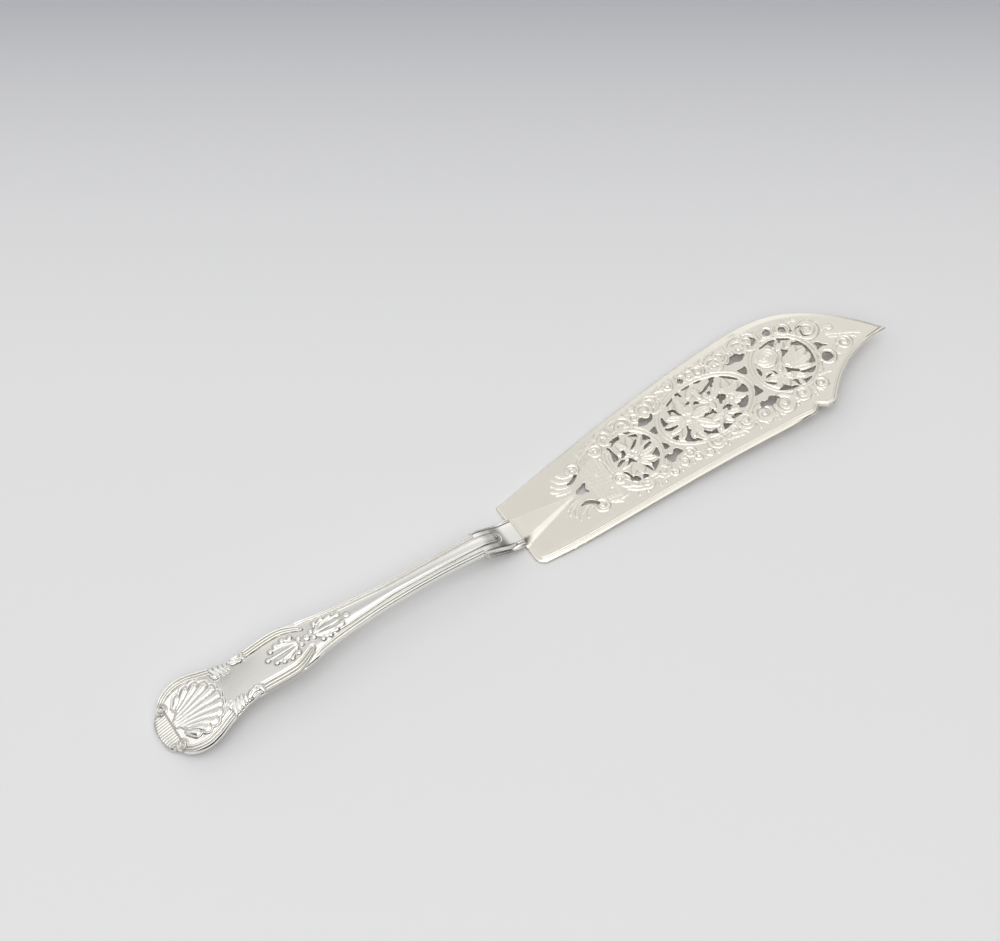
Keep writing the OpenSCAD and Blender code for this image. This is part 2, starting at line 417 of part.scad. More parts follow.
// The crown of the top: the stem is rounded, the shell end nearly flat, the edges fall away
function crown(s, y, half) = let (q = abs(y) / half) -mix(0.5, 0.9, ease((s - 60) / 20)) * pow(q, 4)
    - 0.35 * ridge(1 - q, 0.05);
function top_z(s, y, half) = through(TOP, s) + crown(s, y, half) + relief(s, y, half - abs(y));
function under_z(s, y, half) = let (t = through(THICKNESS, s), q = abs(y) / half)
    through(TOP, s) - t * mix(edge_share, 1, pow(1 - pow(q, 2.6), 0.7));
function handle_section(s) = let (half = half_width(s), lean = s >= handle_length ? tan(tilt) : 0)
    concat([for (y = places(half)) let (z = top_z(s, y, half)) [s - handle_length - z * lean, y, z]],
        [for (j = [0:under_count])
            let (y = mix(-half, half, j / under_count), z = max(foot, under_z(s, y, half)))
            [s - handle_length - z * lean, y, z]]);

// Stations along the handle: close where its outline turns, wide along the plain stem
function spaced(a, b, n) = [for (i = [0:n - 1]) mix(a, b, i / n)];
stations = concat([0, 0.25, 0.6, 1.1, 1.8, 2.6, 3.6, 4.6], spaced(5.6, 24, 14), spaced(24, 35, 7),
    spaced(35, 61, 15), spaced(61, shoulder_s - 0.1, 12), [shoulder_s - 0.1],
    spaced(shoulder_s + 0.1, handle_length, 13), [handle_length]);

// Carved pieces stand on the ground, which is the handle's top without its threads
function ground(s, y) = through(TOP, s) + crown(s, y, half_width(s));
sunk = 0.7;
// A section of a carved rib: its place, the direction of its path, its half width and its height
function rib_section(p, along, half, height) = let (left = [-along[1], along[0]] / norm(along),
    at = function(q) p + left * half * q)
    concat([for (q = [1, 0.6, 0, -0.6, -1]) let (c = at(q)) [c[0] - handle_length, c[1], ground(c[0], c[1])
            + height * (1 - q * q) - 0.1 * abs(q)]],
        [for (q = [-1, 1]) let (c = at(q)) [c[0] - handle_length, c[1], ground(c[0], c[1]) - sunk]]);

// The shell: its flutes fan from a point just behind the end's cross line and curve outwards
fan_s = 3.7;
fan_step = 10.6;
fan_foot = 1.8;
shell_reach = 19.1;
outer_angle = 53;
outer_loss = 7.8;
function shell_rim(angle) = shell_reach - outer_loss * pow(min(1.2, abs(angle) / outer_angle), 2.3);
fan_foot_spread = 0.07;
fan_turn = 0.3;
function flute_point(angle, t) = let (r = mix(fan_foot, shell_rim(angle), t), late = pow(1 - t, 2),
    turn = angle * (1 - fan_turn * late))
    [fan_s + r * cos(turn), r * sin(turn) + fan_foot_spread * angle * late];
// A flute's sections: [share of its length, width share, height share]
FLUTE = [
    [0, 0.9, 0.3], [0.3, 1, 0.65], [0.6, 1.1, 0.9], [0.8, 1.2, 1], [0.91, 1.1, 0.95], [0.97, 0.75, 0.7],
    [1, 0.3, 0.3]
];
function flute_sections(angle) = [for (f = FLUTE) let (t = f[0], r = mix(fan_foot, shell_rim(angle), t))
    rib_section(flute_point(angle, t), flute_point(angle, t + 0.02) - flute_point(angle, t - 0.02),
        0.2 + f[1] * r * fan_step * PI / 360, f[2] * (shell_height + flute_height))];

// Fine ribs wrap over the handle's end
RIB_START = [[0, 0.1], [2.4, 0.1], [4.4, 0.6], [6, 1.3], [7.5, 2.4]];
rib_reach = 6.2;
function end_rib_sections(y) = let (a = through(RIB_START, abs(y))) [for (t = [0, 0.35, 0.7, 1])
    rib_section([mix(a, 4.9, t), y], [1, 0], 0.36, 0.3)];

// Leaves run from each palmette's foot to a bead: [s, y of the bead, width share]
LEAF_BEADS = [
    [42.2, 0.01, 1.1], [44.7, 2.2, 1], [47, 2.9, 1], [49.8, 3.5, 1], [52.8, 3.5, 1],
    [72.8, 0.01, 1.1], [70.3, 1.9, 1], [67.8, 2.7, 1], [65.2, 3.1, 1], [62.2, 3.2, 1]
];
// A leaf's sections: [share of its length, half width, height share]
LEAF = [
    [0.08, 0.35, 0.6], [0.5, 0.4, 0.6], [0.76, 0.42, 0.6], [0.9, 0.8, 1.1], [0.98, 0.7, 0.9], [1.04, 0.2, 0.2]
];
function leaf_sections(start, bead, side) = let (end = [bead[0], bead[1] * side], along = end - start)
    [for (f = LEAF) rib_section(start + along * f[0], along, f[1] * bead[2], f[2] * leaf_height)];

// The swelling's frame turns in at its end, as two ribs that follow each other
function hook_point(t, inset, side) = let (s = mix(50, 58 - inset, t))
    [s, side * (half_width(s) - 1.2 - inset - 2.6 * t * t)];
function hook_sections(inset, side) = [for (t = [0, 0.2, 0.4, 0.6, 0.8, 0.93, 1])
    let (along = hook_point(t + 0.02, inset, side) - hook_point(t - 0.02, inset, side))
    rib_section(hook_point(t, inset, side), along, t == 1 ? 0.3 : 0.75, t == 1 ? 0.2 : 0.5)];

// Leaves cross the frame at the waist: [from, to, half width]
KNOT_LEAVES = [
    [[24.2, 0.9], [26.2, -2.6], 0.75], [[25.9, 0.6], [28, -3], 0.8],
    [[27.8, 0.3], [29.8, -2.9], 0.75], [[29.8, 0.1], [32, -2.4], 0.7]
];
function knot_point(p, side) = [p[0], side * (waist_half + mix(0.4, 0, clamp01((p[0] - 24) / 8)) + p[1])];
function knot_sections(leaf, side) = let (a = knot_point(leaf[0], side), b = knot_point(leaf[1], side))
    [for (f = [[0, 0.5, 0.5], [0.3, 1, 1], [0.7, 1, 1.1], [1, 0.4, 0.4]])
        rib_section(mix(a, b, f[0]), b - a, f[1] * leaf[2], f[2] * 1.2 * leaf_height)];

// Volutes and beads, as low domes: [s, y, radius, height share]
volute_y = 0.5 * shell_half;
DOMES = concat(
    [for (side = [-1, 1]) each [
        [4.8, side * volute_y, 1.9, 1.2], [34.2, side * (waist_half - 1.9), 1.2, 1],
        [54.8, side * 1.4, 0.9, 1.1], [60.4, side * 1.4, 0.9, 1.1]]],
    [[53.6, 0, 1.3, 1], [57.6, 0, 1.2, 1.2], [61.6, 0, 1.2, 1]]);
DOME = [[1.1, -0.1], [0.75, 0.6], [0.35, 1]];
dome_sides = 9;
function dome_ring(d, f) = [for (i = [0:dome_sides - 1])
    let (a = 360 * i / dome_sides, s = d[0] + d[2] * f[0] * cos(a), y = d[1] + d[2] * f[0] * sin(a))
    [s - handle_length, y, ground(s, y) + f[1] * d[3] * leaf_height]];

// A solid skin over a row of closed sections
module loft(sections) {
    n = len(sections[0]);
    last = len(sections) - 1;
    points = [for (section = sections) each section];
    sides = [for (i = [0:last - 1], j = [0:n - 1]) let (k = (j + 1) % n)
        each [[i * n + j, i * n + k, (i + 1) * n + k], [i * n + j, (i + 1) * n + k, (i + 1) * n + j]]];
    ends = [[for (j = [n - 1:-1:0]) j], [for (j = [0:n - 1]) last * n + j]];
    polyhedron(points, [for (f = concat(sides, ends)) [for (j = [len(f) - 1:-1:0]) f[j]]]);
}

// What the bevel takes off: a three-sided bar that follows the outline
module bevel_bar() {
    over = 0.3;
    loft([for (i = [0:len(blade_outline) - 1]) let (p = blade_outline[i], n = outward(i), w = bevel_at(i),
        rise = (sheet - edge_thickness) / w, inner = p - n * (w + over), outer = p + n * over)
        [[inner[0], inner[1], sheet + rise * over], [outer[0], outer[1], edge_thickness - rise * over],
            [outer[0], outer[1], sheet + 1]]]);
}

module piercings() {
    for (cut = CUTS) polygon(blade_of_grass(cut[0], cut[1], cut[2], cut[3] * cut_share));
    for (cut = RIM_CUTS) polygon(rim_cut(cut));
    for (opening = OPENINGS) polygon([for (p = filed(opening)) fitted(p)]);
}

// The chased border round the panels and the flowers in them
module chasing() {
    for (s = SCROLLS) polygon(scroll([s[0], s[1]], s[2], s[3], s[4], s[5]));
    for (leaf = LEAVES) polygon(blade_of_grass(leaf[0], leaf[1], leaf[2], leaf[3]));
    for (f = FLOWERS) polygon([for (a = [0:20:340]) fitted([f[0], f[1]] + f[2] * [cos(a), sin(a)])]);
}

module panel_rims() {
    for (panel = PANELS) difference() {
        polygon([for (a = [0:6:354]) on_panel(panel, -rim_width / 2, a)]);
        polygon([for (a = [0:6:354]) on_panel(panel, rim_width / 2, a)]);
    }
}

module drawn_blade() {
    rotate([0, -tilt, 0]) {
        difference() {
            linear_extrude(sheet) difference() {
                polygon(blade_outline);
                piercings();
            }
            bevel_bar();
        }
        translate([0, 0, sheet - 0.2]) linear_extrude(rim_height + 0.2) difference() {
            union() {
                panel_rims();
                chasing();
            }
            piercings();
        }
        loft([for (i = [0:tongue_steps]) tongue_section(i / tongue_steps)]);
    }
}

module blade() {
    color(SILVER) difference() {
        drawn_blade();
        translate([-blade_length / 2, -blade_length / 2, foot - sheet])
            cube([blade_length, blade_length, sheet]);
    }
}

module dome(d) {
    base = [for (p = dome_ring(d, DOME[0])) p - [0, 0, sunk]];
    loft(concat([base], [for (f = DOME) dome_ring(d, f)]));
}

module carving() {
    outer_flute = (shell_flutes - 1) / 2;
    for (k = [-outer_flute:outer_flute]) loft(flute_sections(k * fan_step));
    for (j = [0:end_ribs - 1]) loft(end_rib_sections(mix(-rib_reach, rib_reach, j / (end_ribs - 1))));
    for (bead = LEAF_BEADS, side = [-1, 1]) if (side > 0 || bead[1] > 1)
        loft(leaf_sections([bead[0] < 57 ? 54 : 60.8, 0], bead, side));
    for (side = [-1, 1]) {
        loft(hook_sections(0, side));
        loft(hook_sections(1.4, side));
        for (leaf = KNOT_LEAVES) loft(knot_sections(leaf, side));
    }
    for (d = DOMES) dome(d);
}

module handle() {
    color(SILVER) {
        loft([for (s = stations) handle_section(s)]);
        carving();
    }
}

// The part stands with its origin under the middle of its box
top_v = max([for (p = blade_outline) p[1]]);
low_v = min([for (p = blade_outline) p[1]]);
middle = [(blade_length * cos(tilt) - handle_length) / 2, (top_v + low_v) / 2, foot];

translate(-middle) blade();
translate(-middle) handle();
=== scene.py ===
"""Fish server: the pierced and chased blade and the die-struck handle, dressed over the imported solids."""
import math

import bpy
import numpy as np
from mathutils import Matrix, Vector
from mathutils.geometry import delaunay_2d_cdt


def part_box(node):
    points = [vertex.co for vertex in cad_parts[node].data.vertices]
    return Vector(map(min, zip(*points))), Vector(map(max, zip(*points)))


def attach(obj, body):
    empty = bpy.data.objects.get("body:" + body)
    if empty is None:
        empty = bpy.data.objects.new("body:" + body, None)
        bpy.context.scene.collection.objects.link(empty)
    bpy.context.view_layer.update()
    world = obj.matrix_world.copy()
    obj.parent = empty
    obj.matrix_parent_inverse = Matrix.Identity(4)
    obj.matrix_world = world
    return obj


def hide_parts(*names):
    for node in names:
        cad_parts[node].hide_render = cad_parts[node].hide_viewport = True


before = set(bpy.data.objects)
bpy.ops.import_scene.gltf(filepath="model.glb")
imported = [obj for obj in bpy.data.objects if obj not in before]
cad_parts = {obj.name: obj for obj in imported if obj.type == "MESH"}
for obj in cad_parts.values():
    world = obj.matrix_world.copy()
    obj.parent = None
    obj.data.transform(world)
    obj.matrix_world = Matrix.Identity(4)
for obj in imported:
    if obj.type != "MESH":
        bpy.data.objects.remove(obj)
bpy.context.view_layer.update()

bl_info = {
    "name": "Fish server",
    "version": (1, 0, 0),
    "blender": (4, 5, 0),
    "location": "3D View > Sidebar > Fish server",
    "description": "Builds the looks of a silver fish server over its packed solids",
    "category": "Object",
}

MM = 0.001
HANDLE_LOW, HANDLE_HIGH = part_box("handle")
HEEL_X = HANDLE_HIGH[0] / MM
AXIS_Y = (HANDLE_LOW[1] + HANDLE_HIGH[1]) / 2 / MM


def mix(a, b, t):
    """The value a share t of the way from a to b."""
    return a + (b - a) * t


def held(t):
    """t held between 0 and 1."""
    return np.clip(t, 0, 1)


def ease(t):
    """Rises from 0 to 1 with level ends while t goes from 0 to 1."""
    c = held(t)
    return c * c * (3 - 2 * c)


def window(s, a, b, soft):
    """1 between a and b, falling to 0 at both ends over the length soft."""
    return ease((s - a) / soft) * ease((b - s) / soft)


def dome(q):
    """A round ridge: 1 at q = 0, and 0 where q reaches 1."""
    return np.clip(1 - q * q, 0, None)


def round_dome(q):
    """A fuller ridge, the root of the round one."""
    return np.sqrt(np.clip(1 - q * q, 0, None))


def bump(q):
    """A soft bell round q = 0."""
    return np.exp(-q * q)


def through(table, s):
    """A smooth curve through a table of (place, value), with the slope of its neighbours at each place."""
    x, y = np.array(table, float).T
    n = len(x)
    low, high = np.maximum(np.arange(n) - 1, 0), np.minimum(np.arange(n) + 1, n - 1)
    slope = (y[high] - y[low]) / (x[high] - x[low])
    i = np.clip(np.searchsorted(x, s, side="right") - 1, 0, n - 2)
    w = x[i + 1] - x[i]
    t = held((s - x[i]) / w)
    t2, t3 = t * t, t * t * t
    return ((2 * t3 - 3 * t2 + 1) * y[i] + (t3 - 2 * t2 + t) * w * slope[i]
            + (3 * t2 - 2 * t3) * y[i + 1] + (t3 - t2) * w * slope[i + 1])


def make_piece(name, points, faces, smooth=True):
    """A mesh object at the origin from points in millimetres and a list or array of faces."""
    mesh = bpy.data.meshes.new(name)
    mesh.from_pydata((np.asarray(points, float) * MM).tolist(), [], [list(f) for f in faces])
    mesh.validate()
    mesh.polygons.foreach_set("use_smooth", np.full(len(mesh.polygons), smooth))
    mesh.update()
    piece = bpy.data.objects.new(name, mesh)
    bpy.context.scene.collection.objects.link(piece)
    return piece


def add_values(piece, name, values):
    """Keeps one number a vertex on the mesh, for the material to read."""
    layer = piece.data.attributes.new(name, "FLOAT", "POINT")
    layer.data.foreach_set("value", np.asarray(values, np.float32))


# The blade, with u along it from the heel, v across and w up, in millimetres

# Tilt of the blade in degrees, and depth of the flats that both pieces stand on
TILT = 2.7
FOOT = 0.08
# Thickness of the sheet and of its filed edge
SHEET = 1.2
EDGE = 0.5
LENGTH = 166.0
# Length over which the heel's bevel and sweep run out
HEEL_SOFT = 5.0
# Where the upper side turns towards the tip, and where the lower side has its notch
TURN_U = 0.69 * LENGTH
NOTCH_U = 0.741 * LENGTH


def blade_place(u, v, w):
    """From the flat blade (u along, v across, w up) to its place, tipped up from the heel."""
    a = math.radians(TILT)
    z = np.maximum(u * math.sin(a) + w * math.cos(a) - FOOT, 0)
    return np.stack([HEEL_X + u * math.cos(a) - w * math.sin(a), v + AXIS_Y, z], -1)


def blade_flat(points):
    """The other way: from places in millimetres to u, v and w."""
    a = math.radians(TILT)
    x, y, z = points[:, 0] - HEEL_X, points[:, 1] - AXIS_Y, points[:, 2] + FOOT
    return np.stack([x * math.cos(a) + z * math.sin(a), y, z * math.cos(a) - x * math.sin(a)], -1)


def sawn_loops():
    """The closed outlines on the blade's underside: its own, and those of the piercings.
    The underside's triangles are those at w = 0, and an edge that only one of them has lies on an outline."""
    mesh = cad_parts["blade"].data
    mesh.calc_loop_triangles()
    co = np.zeros(len(mesh.vertices) * 3)
    mesh.vertices.foreach_get("co", co)
    flat = blade_flat(co.reshape(-1, 3) / MM)
    tris = np.zeros(len(mesh.loop_triangles) * 3, int)
    mesh.loop_triangles.foreach_get("vertices", tris)
    tris = tris.reshape(-1, 3)
    tris = tris[(np.abs(flat[tris, 2]) < FOOT + 0.02).all(1)]
    keys = np.round(flat[:, :2] * 200).astype(int)
    _, first, same = np.unique(keys, axis=0, return_index=True, return_inverse=True)
    same = same.ravel()
    tris = same[tris]
    tris = tris[(tris[:, 0] != tris[:, 1]) & (tris[:, 1] != tris[:, 2]) & (tris[:, 2] != tris[:, 0])]
    half = np.concatenate([tris[:, [0, 1]], tris[:, [1, 2]], tris[:, [2, 0]]])
    there = {(int(a), int(b)) for a, b in half}
    follow = {a: b for a, b in there if (b, a) not in there}
    places = flat[first, :2]
    loops = []
    while follow:
        start, b = follow.popitem()
        loop = [start]
        while b != start and b in follow:
            loop.append(b)
            b = follow.pop(b)
        if len(loop) > 2:
            loops.append(places[loop])
    return loops


def closer(loop, step):
    """The same closed outline with points no further apart than step."""
    nxt = np.roll(loop, -1, 0)
    parts = []
    for a, b in zip(loop, nxt):
        n = max(1, int(math.ceil(np.hypot(*(b - a)) / step)))
        parts.append(a + (b - a) * (np.arange(n) / n)[:, None])
    return np.concatenate(parts)


# How many points are tested against the outlines at a time
SLICE = 4000


def inside(points, loops):
    """Even-odd test of the points against all the outlines, in slices."""
    a = np.concatenate(loops)
    b = np.concatenate([np.roll(p, -1, 0) for p in loops])
    odd = np.zeros(len(points), bool)
    for k in range(0, len(points), SLICE):
        x, y = points[k:k + SLICE, 0][:, None], points[k:k + SLICE, 1][:, None]
        cross = (a[:, 1] > y) != (b[:, 1] > y)
        dy = np.where(b[:, 1] == a[:, 1], 1, b[:, 1] - a[:, 1])
        at = a[:, 0] + (y - a[:, 1]) / dy * (b[:, 0] - a[:, 0])
        odd[k:k + SLICE] = (cross & (x < at)).sum(1) % 2 == 1
    return odd


def to_outline(points, loop):
    """Distance of each point from a closed outline."""
    a, b = loop, np.roll(loop, -1, 0)
    d = b - a
    n = np.maximum((d * d).sum(1), 1e-9)
    best = np.full(len(points), 1e9)
    for k in range(0, len(points), SLICE):
        p = points[k:k + SLICE]
        t = held(((p[:, None] - a) * d).sum(2) / n)
        gap = p[:, None] - a - d * t[..., None]
        best[k:k + SLICE] = np.sqrt((gap * gap).sum(2).min(1))
    return best


# Pierced panels: centre u, centre v, half length, half width
PANELS = [
    (54.8, 3.5, 9.2, 10.8), (88, 5.2, 18.8, 12.2), (124.5, 4.5, 11.8, 11.7),
]

# Scrolls of the border: centre u, centre v, radius, first angle, last angle, width
SCROLLS = [
    (31.5, 11, 2.3, 10, 250, 1), (32.4, -7.3, 2.6, 120, 400, 1), (44, -1.6, 2.2, 60, 320, 1),
    (43.2, 13, 2.4, 40, 300, 1), (62, -10.8, 1.4, -120, 200, 0.8), (68.4, 17.2, 3, 60, 290, 1.6),
    (71.8, 18, 4.3, -50, 100, 1.2), (81.8, 21.2, 1.9, -60, 200, 0.8), (91.4, 20.3, 2.1, 60, 330, 0.9),
    (94.9, 20.3, 2.6, -120, 150, 1), (102, 18.9, 3.4, 80, 320, 1.6), (105.4, 20.4, 2.9, -110, 110, 1.2),
    (114, 19.7, 3.5, 70, 300, 1.6), (118.6, 20, 4.1, -50, 110, 1.3), (127, 19.3, 2.6, -40, 200, 0.9),
    (133, 17.1, 2.6, -70, 190, 0.9), (140.6, 11.8, 3.9, -150, 130, 1.7), (148.6, -0.6, 2.8, -60, 260, 1),
    (139.3, -2.3, 3.2, -70, 190, 1), (73.2, -10, 1.7, -30, 240, 0.8), (77.6, -11.2, 1.5, 150, 420, 0.8),
    (82.9, -8.6, 3.2, 150, 350, 1.5), (96.8, -7.6, 3.5, 170, 400, 1.7), (104.3, -9.2, 3.6, 70, 340, 1.7),
    (113.3, -9.9, 3.8, 120, 400, 1.8), (121.4, -10, 3, 170, 380, 1.5), (130, -10.4, 2.5, 140, 400, 1),
    (57.6, 16.2, 3.9, 20, 150, 1.6), (63.4, 16.6, 2, 170, 330, 0.9), (48.6, 15.4, 3.3, 50, 190, 1.5),
    (67.6, -9.4, 1.5, 60, 330, 0.8), (88, 21, 1.7, 150, 380, 0.8), (51.2, -8.6, 2.6, 190, 350, 1.4),
    (59.2, -8.2, 2.7, 170, 340, 1.4), (71.4, -7.2, 2.3, 10, 150, 0.9), (90.4, -8.4, 2, 20, 170, 0.8),
]
# Leaves and ribbons of the border: from, to, bow to the left, width
RIBBONS = [
    (33.6, 11.3, 46.6, 17.6, 0.8, 1.3), (35, 9.4, 45, 15, 0.9, 0.8), (41.9, 8.6, 41.9, 0.6, 0, 0.9),
    (43.3, 8.8, 43.3, 0.9, 0, 0.8), (35.3, -7.5, 43.5, -8.6, -0.8, 0.9), (43.6, -6.6, 53, -11, -1.2, 1),
    (45.5, -6.2, 52.6, -9.6, -1, 0.8), (56.6, -11.4, 63.9, -5.6, -0.9, 1), (51.5, 18.6, 60, 20.2, 1.1, 1.1),
    (74.6, 21.6, 79.6, 20, 0.7, 1.1), (84.5, -11.8, 91, -8.6, 0.5, 1.3), (66.5, -8, 71, -6.6, 0.6, 1),
    (42.5, -4.2, 46.5, -7.2, -0.5, 0.9), (97.6, 21.6, 100.6, 16.8, 0.8, 1),
    (121.6, 17.6, 126, 16.6, 0.3, 0.9), (99.4, -7.4, 102.2, -5, 0.4, 0.9),
    (116.6, -12, 120, -12.6, 0.3, 0.9), (132.4, -7.6, 135.6, -1.6, -0.7, 1),
    (136.8, 1.4, 136.2, 8, 0.4, 0.9), (84.4, 19.2, 88.8, 18.9, 0.3, 0.8),
]
# Leaf sprays: foot, tip, bow to the left, width
SPRAYS = [
    (26, 5.2, 19.5, 8, 0.8, 1.1), (26.6, 6, 21, 10.2, 0.9, 1.1), (27.6, 8, 22.6, 12.2, 0.9, 1.2),
    (29.4, 9.6, 25, 13, 0.8, 1.2), (26.4, 4.4, 20.4, 5.6, 0.4, 0.9), (26.5, -1.2, 20, -4.6, -0.7, 1.1),
    (27, -1.8, 21.6, -6.4, -0.8, 1.1), (28.4, -4.6, 22, -8.3, -0.8, 1.1), (29.6, -5.6, 25, -9, -0.8, 1.1),
    (26, -0.6, 20.6, -2.2, -0.5, 0.9), (63, 18.4, 60.6, 21.4, 0.4, 1.1), (65, 19.4, 63.8, 22, 0.3, 1.1),
    (74.5, 17.6, 77, 20.4, 0.3, 1.2), (75.4, 16.8, 79, 18.4, 0.3, 1.1), (98, 22.6, 100.4, 24, -0.5, 1),
    (99.7, -10.4, 99.3, -14, 0.2, 1.2), (101, -11, 103, -13.6, 0.3, 1),
    (108.2, -10.6, 107.3, -14.6, 0.2, 1.3), (107.4, -11.4, 105.6, -13.8, 0.3, 1),
    (109, -11.6, 110.4, -14, -0.3, 1), (126.2, -10.9, 125.6, -14, 0, 1.3),
    (125.4, -11.2, 123.6, -13.4, 0.2, 1), (127, -11.2, 128.8, -13.4, -0.2, 1),
    (131.2, -7.4, 136.8, -8.8, 0.6, 1.3), (131.6, -6.4, 135.6, -5.4, 0.4, 1.1),
    (110.6, 20, 110, 23.8, 0.2, 1.2), (111.2, 20, 112.6, 23.6, 0, 1.1), (109.8, 20, 107.8, 22.8, 0.2, 1),
    (136.6, 18.4, 139.4, 17.6, 0.5, 1.1), (136.4, 19, 138, 20.4, 0, 1), (122.6, 21, 124, 22.8, 0, 1.1),
    (130.2, 19.4, 131, 21.2, 0, 1), (145, 6, 150.6, 2.2, 0.6, 1.2), (144.8, 4.6, 149.6, 1, 0.6, 1.1),
    (150.5, 2.8, 156.4, -0.8, 0.5, 1.3), (150.8, 1.4, 155, -2.4, 0.4, 1.1),
    (144.8, 8.6, 150, 7.6, 0.7, 1.4), (86.6, -11, 92.8, -12.6, 0.4, 1), (90, -10.6, 93.8, -11, 0.3, 1),
    (69.5, 20.8, 73.5, 22, 0.4, 1.1), (88.6, 21.8, 89.6, 23.4, 0, 0.9), (65.6, -8.2, 67.6, -12, 0.3, 1),
    (93.2, -8.4, 91, -6.9, 0.3, 1), (143.4, -3.2, 145.6, -4.6, 0, 1.2), (143.2, -1.6, 146, 0.6, 0.3, 1.1),
    (46.5, 17.8, 50.4, 20, 0.4, 1.2), (54.4, 20.6, 57.8, 21.9, 0.3, 1), (77.8, 21.8, 79.4, 23.6, 0, 1),
    (83.6, 22.2, 85.2, 24, 0, 1), (92.8, 22.8, 93.4, 24.6, 0, 1), (105.4, 23, 107, 24.8, 0, 1),
    (116.2, 22.8, 117.2, 24.8, 0, 1), (120, 23.4, 122.4, 24.6, 0, 1), (134.6, 19.4, 136.8, 21.2, 0, 1),
    (142.6, 15, 145.2, 15.6, 0, 1), (143.8, 13, 146.8, 12.4, 0, 1), (47, -9.4, 45.6, -11.8, 0.3, 1),
    (54.8, -10.6, 54.4, -13, 0.2, 1), (64.4, -7.4, 64.8, -10.6, 0.2, 1), (70.4, -9.2, 70.2, -12.2, 0.2, 1),
    (75.6, -9.2, 75.2, -12.6, 0.2, 1), (80, -11.4, 80.2, -13.6, 0, 1), (93, -9.6, 94.6, -12.4, 0, 1),
    (117.4, -8.4, 117.6, -11.6, 0, 1), (36.6, -8.8, 39.4, -10.2, 0.3, 0.9), (37, 13.4, 36, 15.6, 0.3, 1),
    (40, 14.8, 39.4, 17.2, 0.3, 1), (55.6, 14.8, 59.6, 15.6, 0.4, 0.9), (45.4, 11.4, 46.4, 8.6, 0.2, 0.9),
]
# Petals and leaves inside the panels: foot, tip, bow to the left, width
PETALS = [
    (53.6, 3.6, 48.6, 7.4, 0, 2.2), (53.6, 4.6, 51.4, 11.8, 0.2, 2.8), (54.6, 5, 56.4, 11.6, -0.2, 2.8),
    (55.2, 4.2, 60.4, 8.8, 0.2, 2.4), (55.6, 3, 62.6, 6, 0.1, 2.2), (55.6, 2.2, 62.4, 2.6, 0.1, 2.4),
    (55.4, 1.4, 60.6, -1.6, -0.1, 2.6), (54.4, 0.8, 57.2, -3.4, -0.1, 2.2), (53.4, 0.6, 52.2, -5, 0, 3),
    (52.6, 1, 48.6, -3.4, 0.1, 2), (52.4, 1.8, 47.2, 1, 0, 1.8), (52.8, 3, 48, 4.4, 0, 1.4),
    (78, 4.7, 70.6, 3, 0.2, 2.6), (78.4, 3.8, 73.4, -1.2, 0.2, 2.6), (79.2, 3.3, 77.2, -2.8, 0.2, 2.4),
    (80, 3.2, 80.4, -5.6, 0.2, 3.2), (80.8, 3.4, 87.6, -3.8, -0.2, 3.8), (81.3, 4.6, 89.4, 4.6, 0.3, 3.8),
    (80.8, 6.3, 84.2, 9.8, 0, 3.2), (79.6, 6.7, 80.2, 13.6, -0.2, 3.4), (78.4, 6.1, 72.6, 9.4, 0, 2.6),
    (78, 5.4, 70.2, 6.3, 0, 1.8), (76.4, 11.8, 79, 14.9, 0, 2), (84.6, 12.4, 89.6, 15.8, 0, 2.4),
    (88.6, 9.4, 88.8, 14.8, 0, 2.6), (90.6, 8.2, 91.4, 11.4, 0, 2), (92.9, 7.8, 95.6, 10.6, 0, 2.2),
    (90.4, 7, 87.6, 8.8, 0, 1.8), (90.6, 6.6, 90.6, 2.6, 0, 2.2), (92.8, 7, 96.8, 9, 0, 2),
    (97.8, 4.6, 96.6, 10.4, 0.2, 2.4), (98.6, 5, 100.8, 12, 0.2, 3), (99.4, 4.6, 104.2, 8.2, 0.2, 3),
    (99.8, 3.8, 104.4, 3.4, -0.1, 2.4), (99.4, 2.8, 103.8, 1.2, 0, 2), (98.4, 2.2, 101.4, -1.6, 0, 2.4),
    (96.6, 3, 94, 0.6, 0, 1.4), (92, -0.6, 86.4, -0.8, 0, 2.4), (93.4, -1.2, 98.2, -2.6, 0, 2.4),
    (91.4, -1.4, 93.2, -5.2, 0, 2.4), (90.6, -1.4, 86.8, -5.8, 0, 2), (84.2, -3.4, 82, -5.8, 0, 1.4),
    (119.4, 0.6, 114.6, 1.4, 0.2, 2.8), (119.2, 1.6, 115.4, 4.8, 0, 2), (119.2, 0, 115.8, -2.8, 0, 2.6),
    (120, -0.4, 119.4, -5, 0, 2.8), (121, 0, 122.6, -2.4, 0, 2), (121, 1, 123.8, -1.8, 0, 2),
    (124.2, -2.4, 127.6, -4.6, 0.2, 2.6), (124.6, -4, 124, -7, 0, 1.6), (120.4, 2.6, 122.6, 4.4, 0, 1.8),
    (124.6, 3.4, 127.4, 7.4, 0.2, 3), (124.8, 3, 132, 8.6, 0.4, 3.8), (125.2, 2.4, 134.8, 5.2, 0.3, 3.4),
    (125.2, 1.8, 134.6, 1.8, 0.1, 3.2), (125.4, 1, 132.4, -1.9, -0.2, 3.2),
    (125.2, 10.8, 129.6, 12.6, 0, 2.6), (129, 9.6, 132.6, 11.2, 0, 2), (124.6, 12, 126.6, 14.4, 0, 1.6),
]
# Flower hearts: centre u, centre v, radius
HEARTS = [
    (54.2, 2.6, 1.2), (79.7, 4.9, 1.7), (91.8, 7.6, 1.2), (98.6, 3.6, 1), (119.9, 1, 1.2),
]
# The rose: centre u, centre v, radius
ROSE = (119.9, 10.4, 4.7)
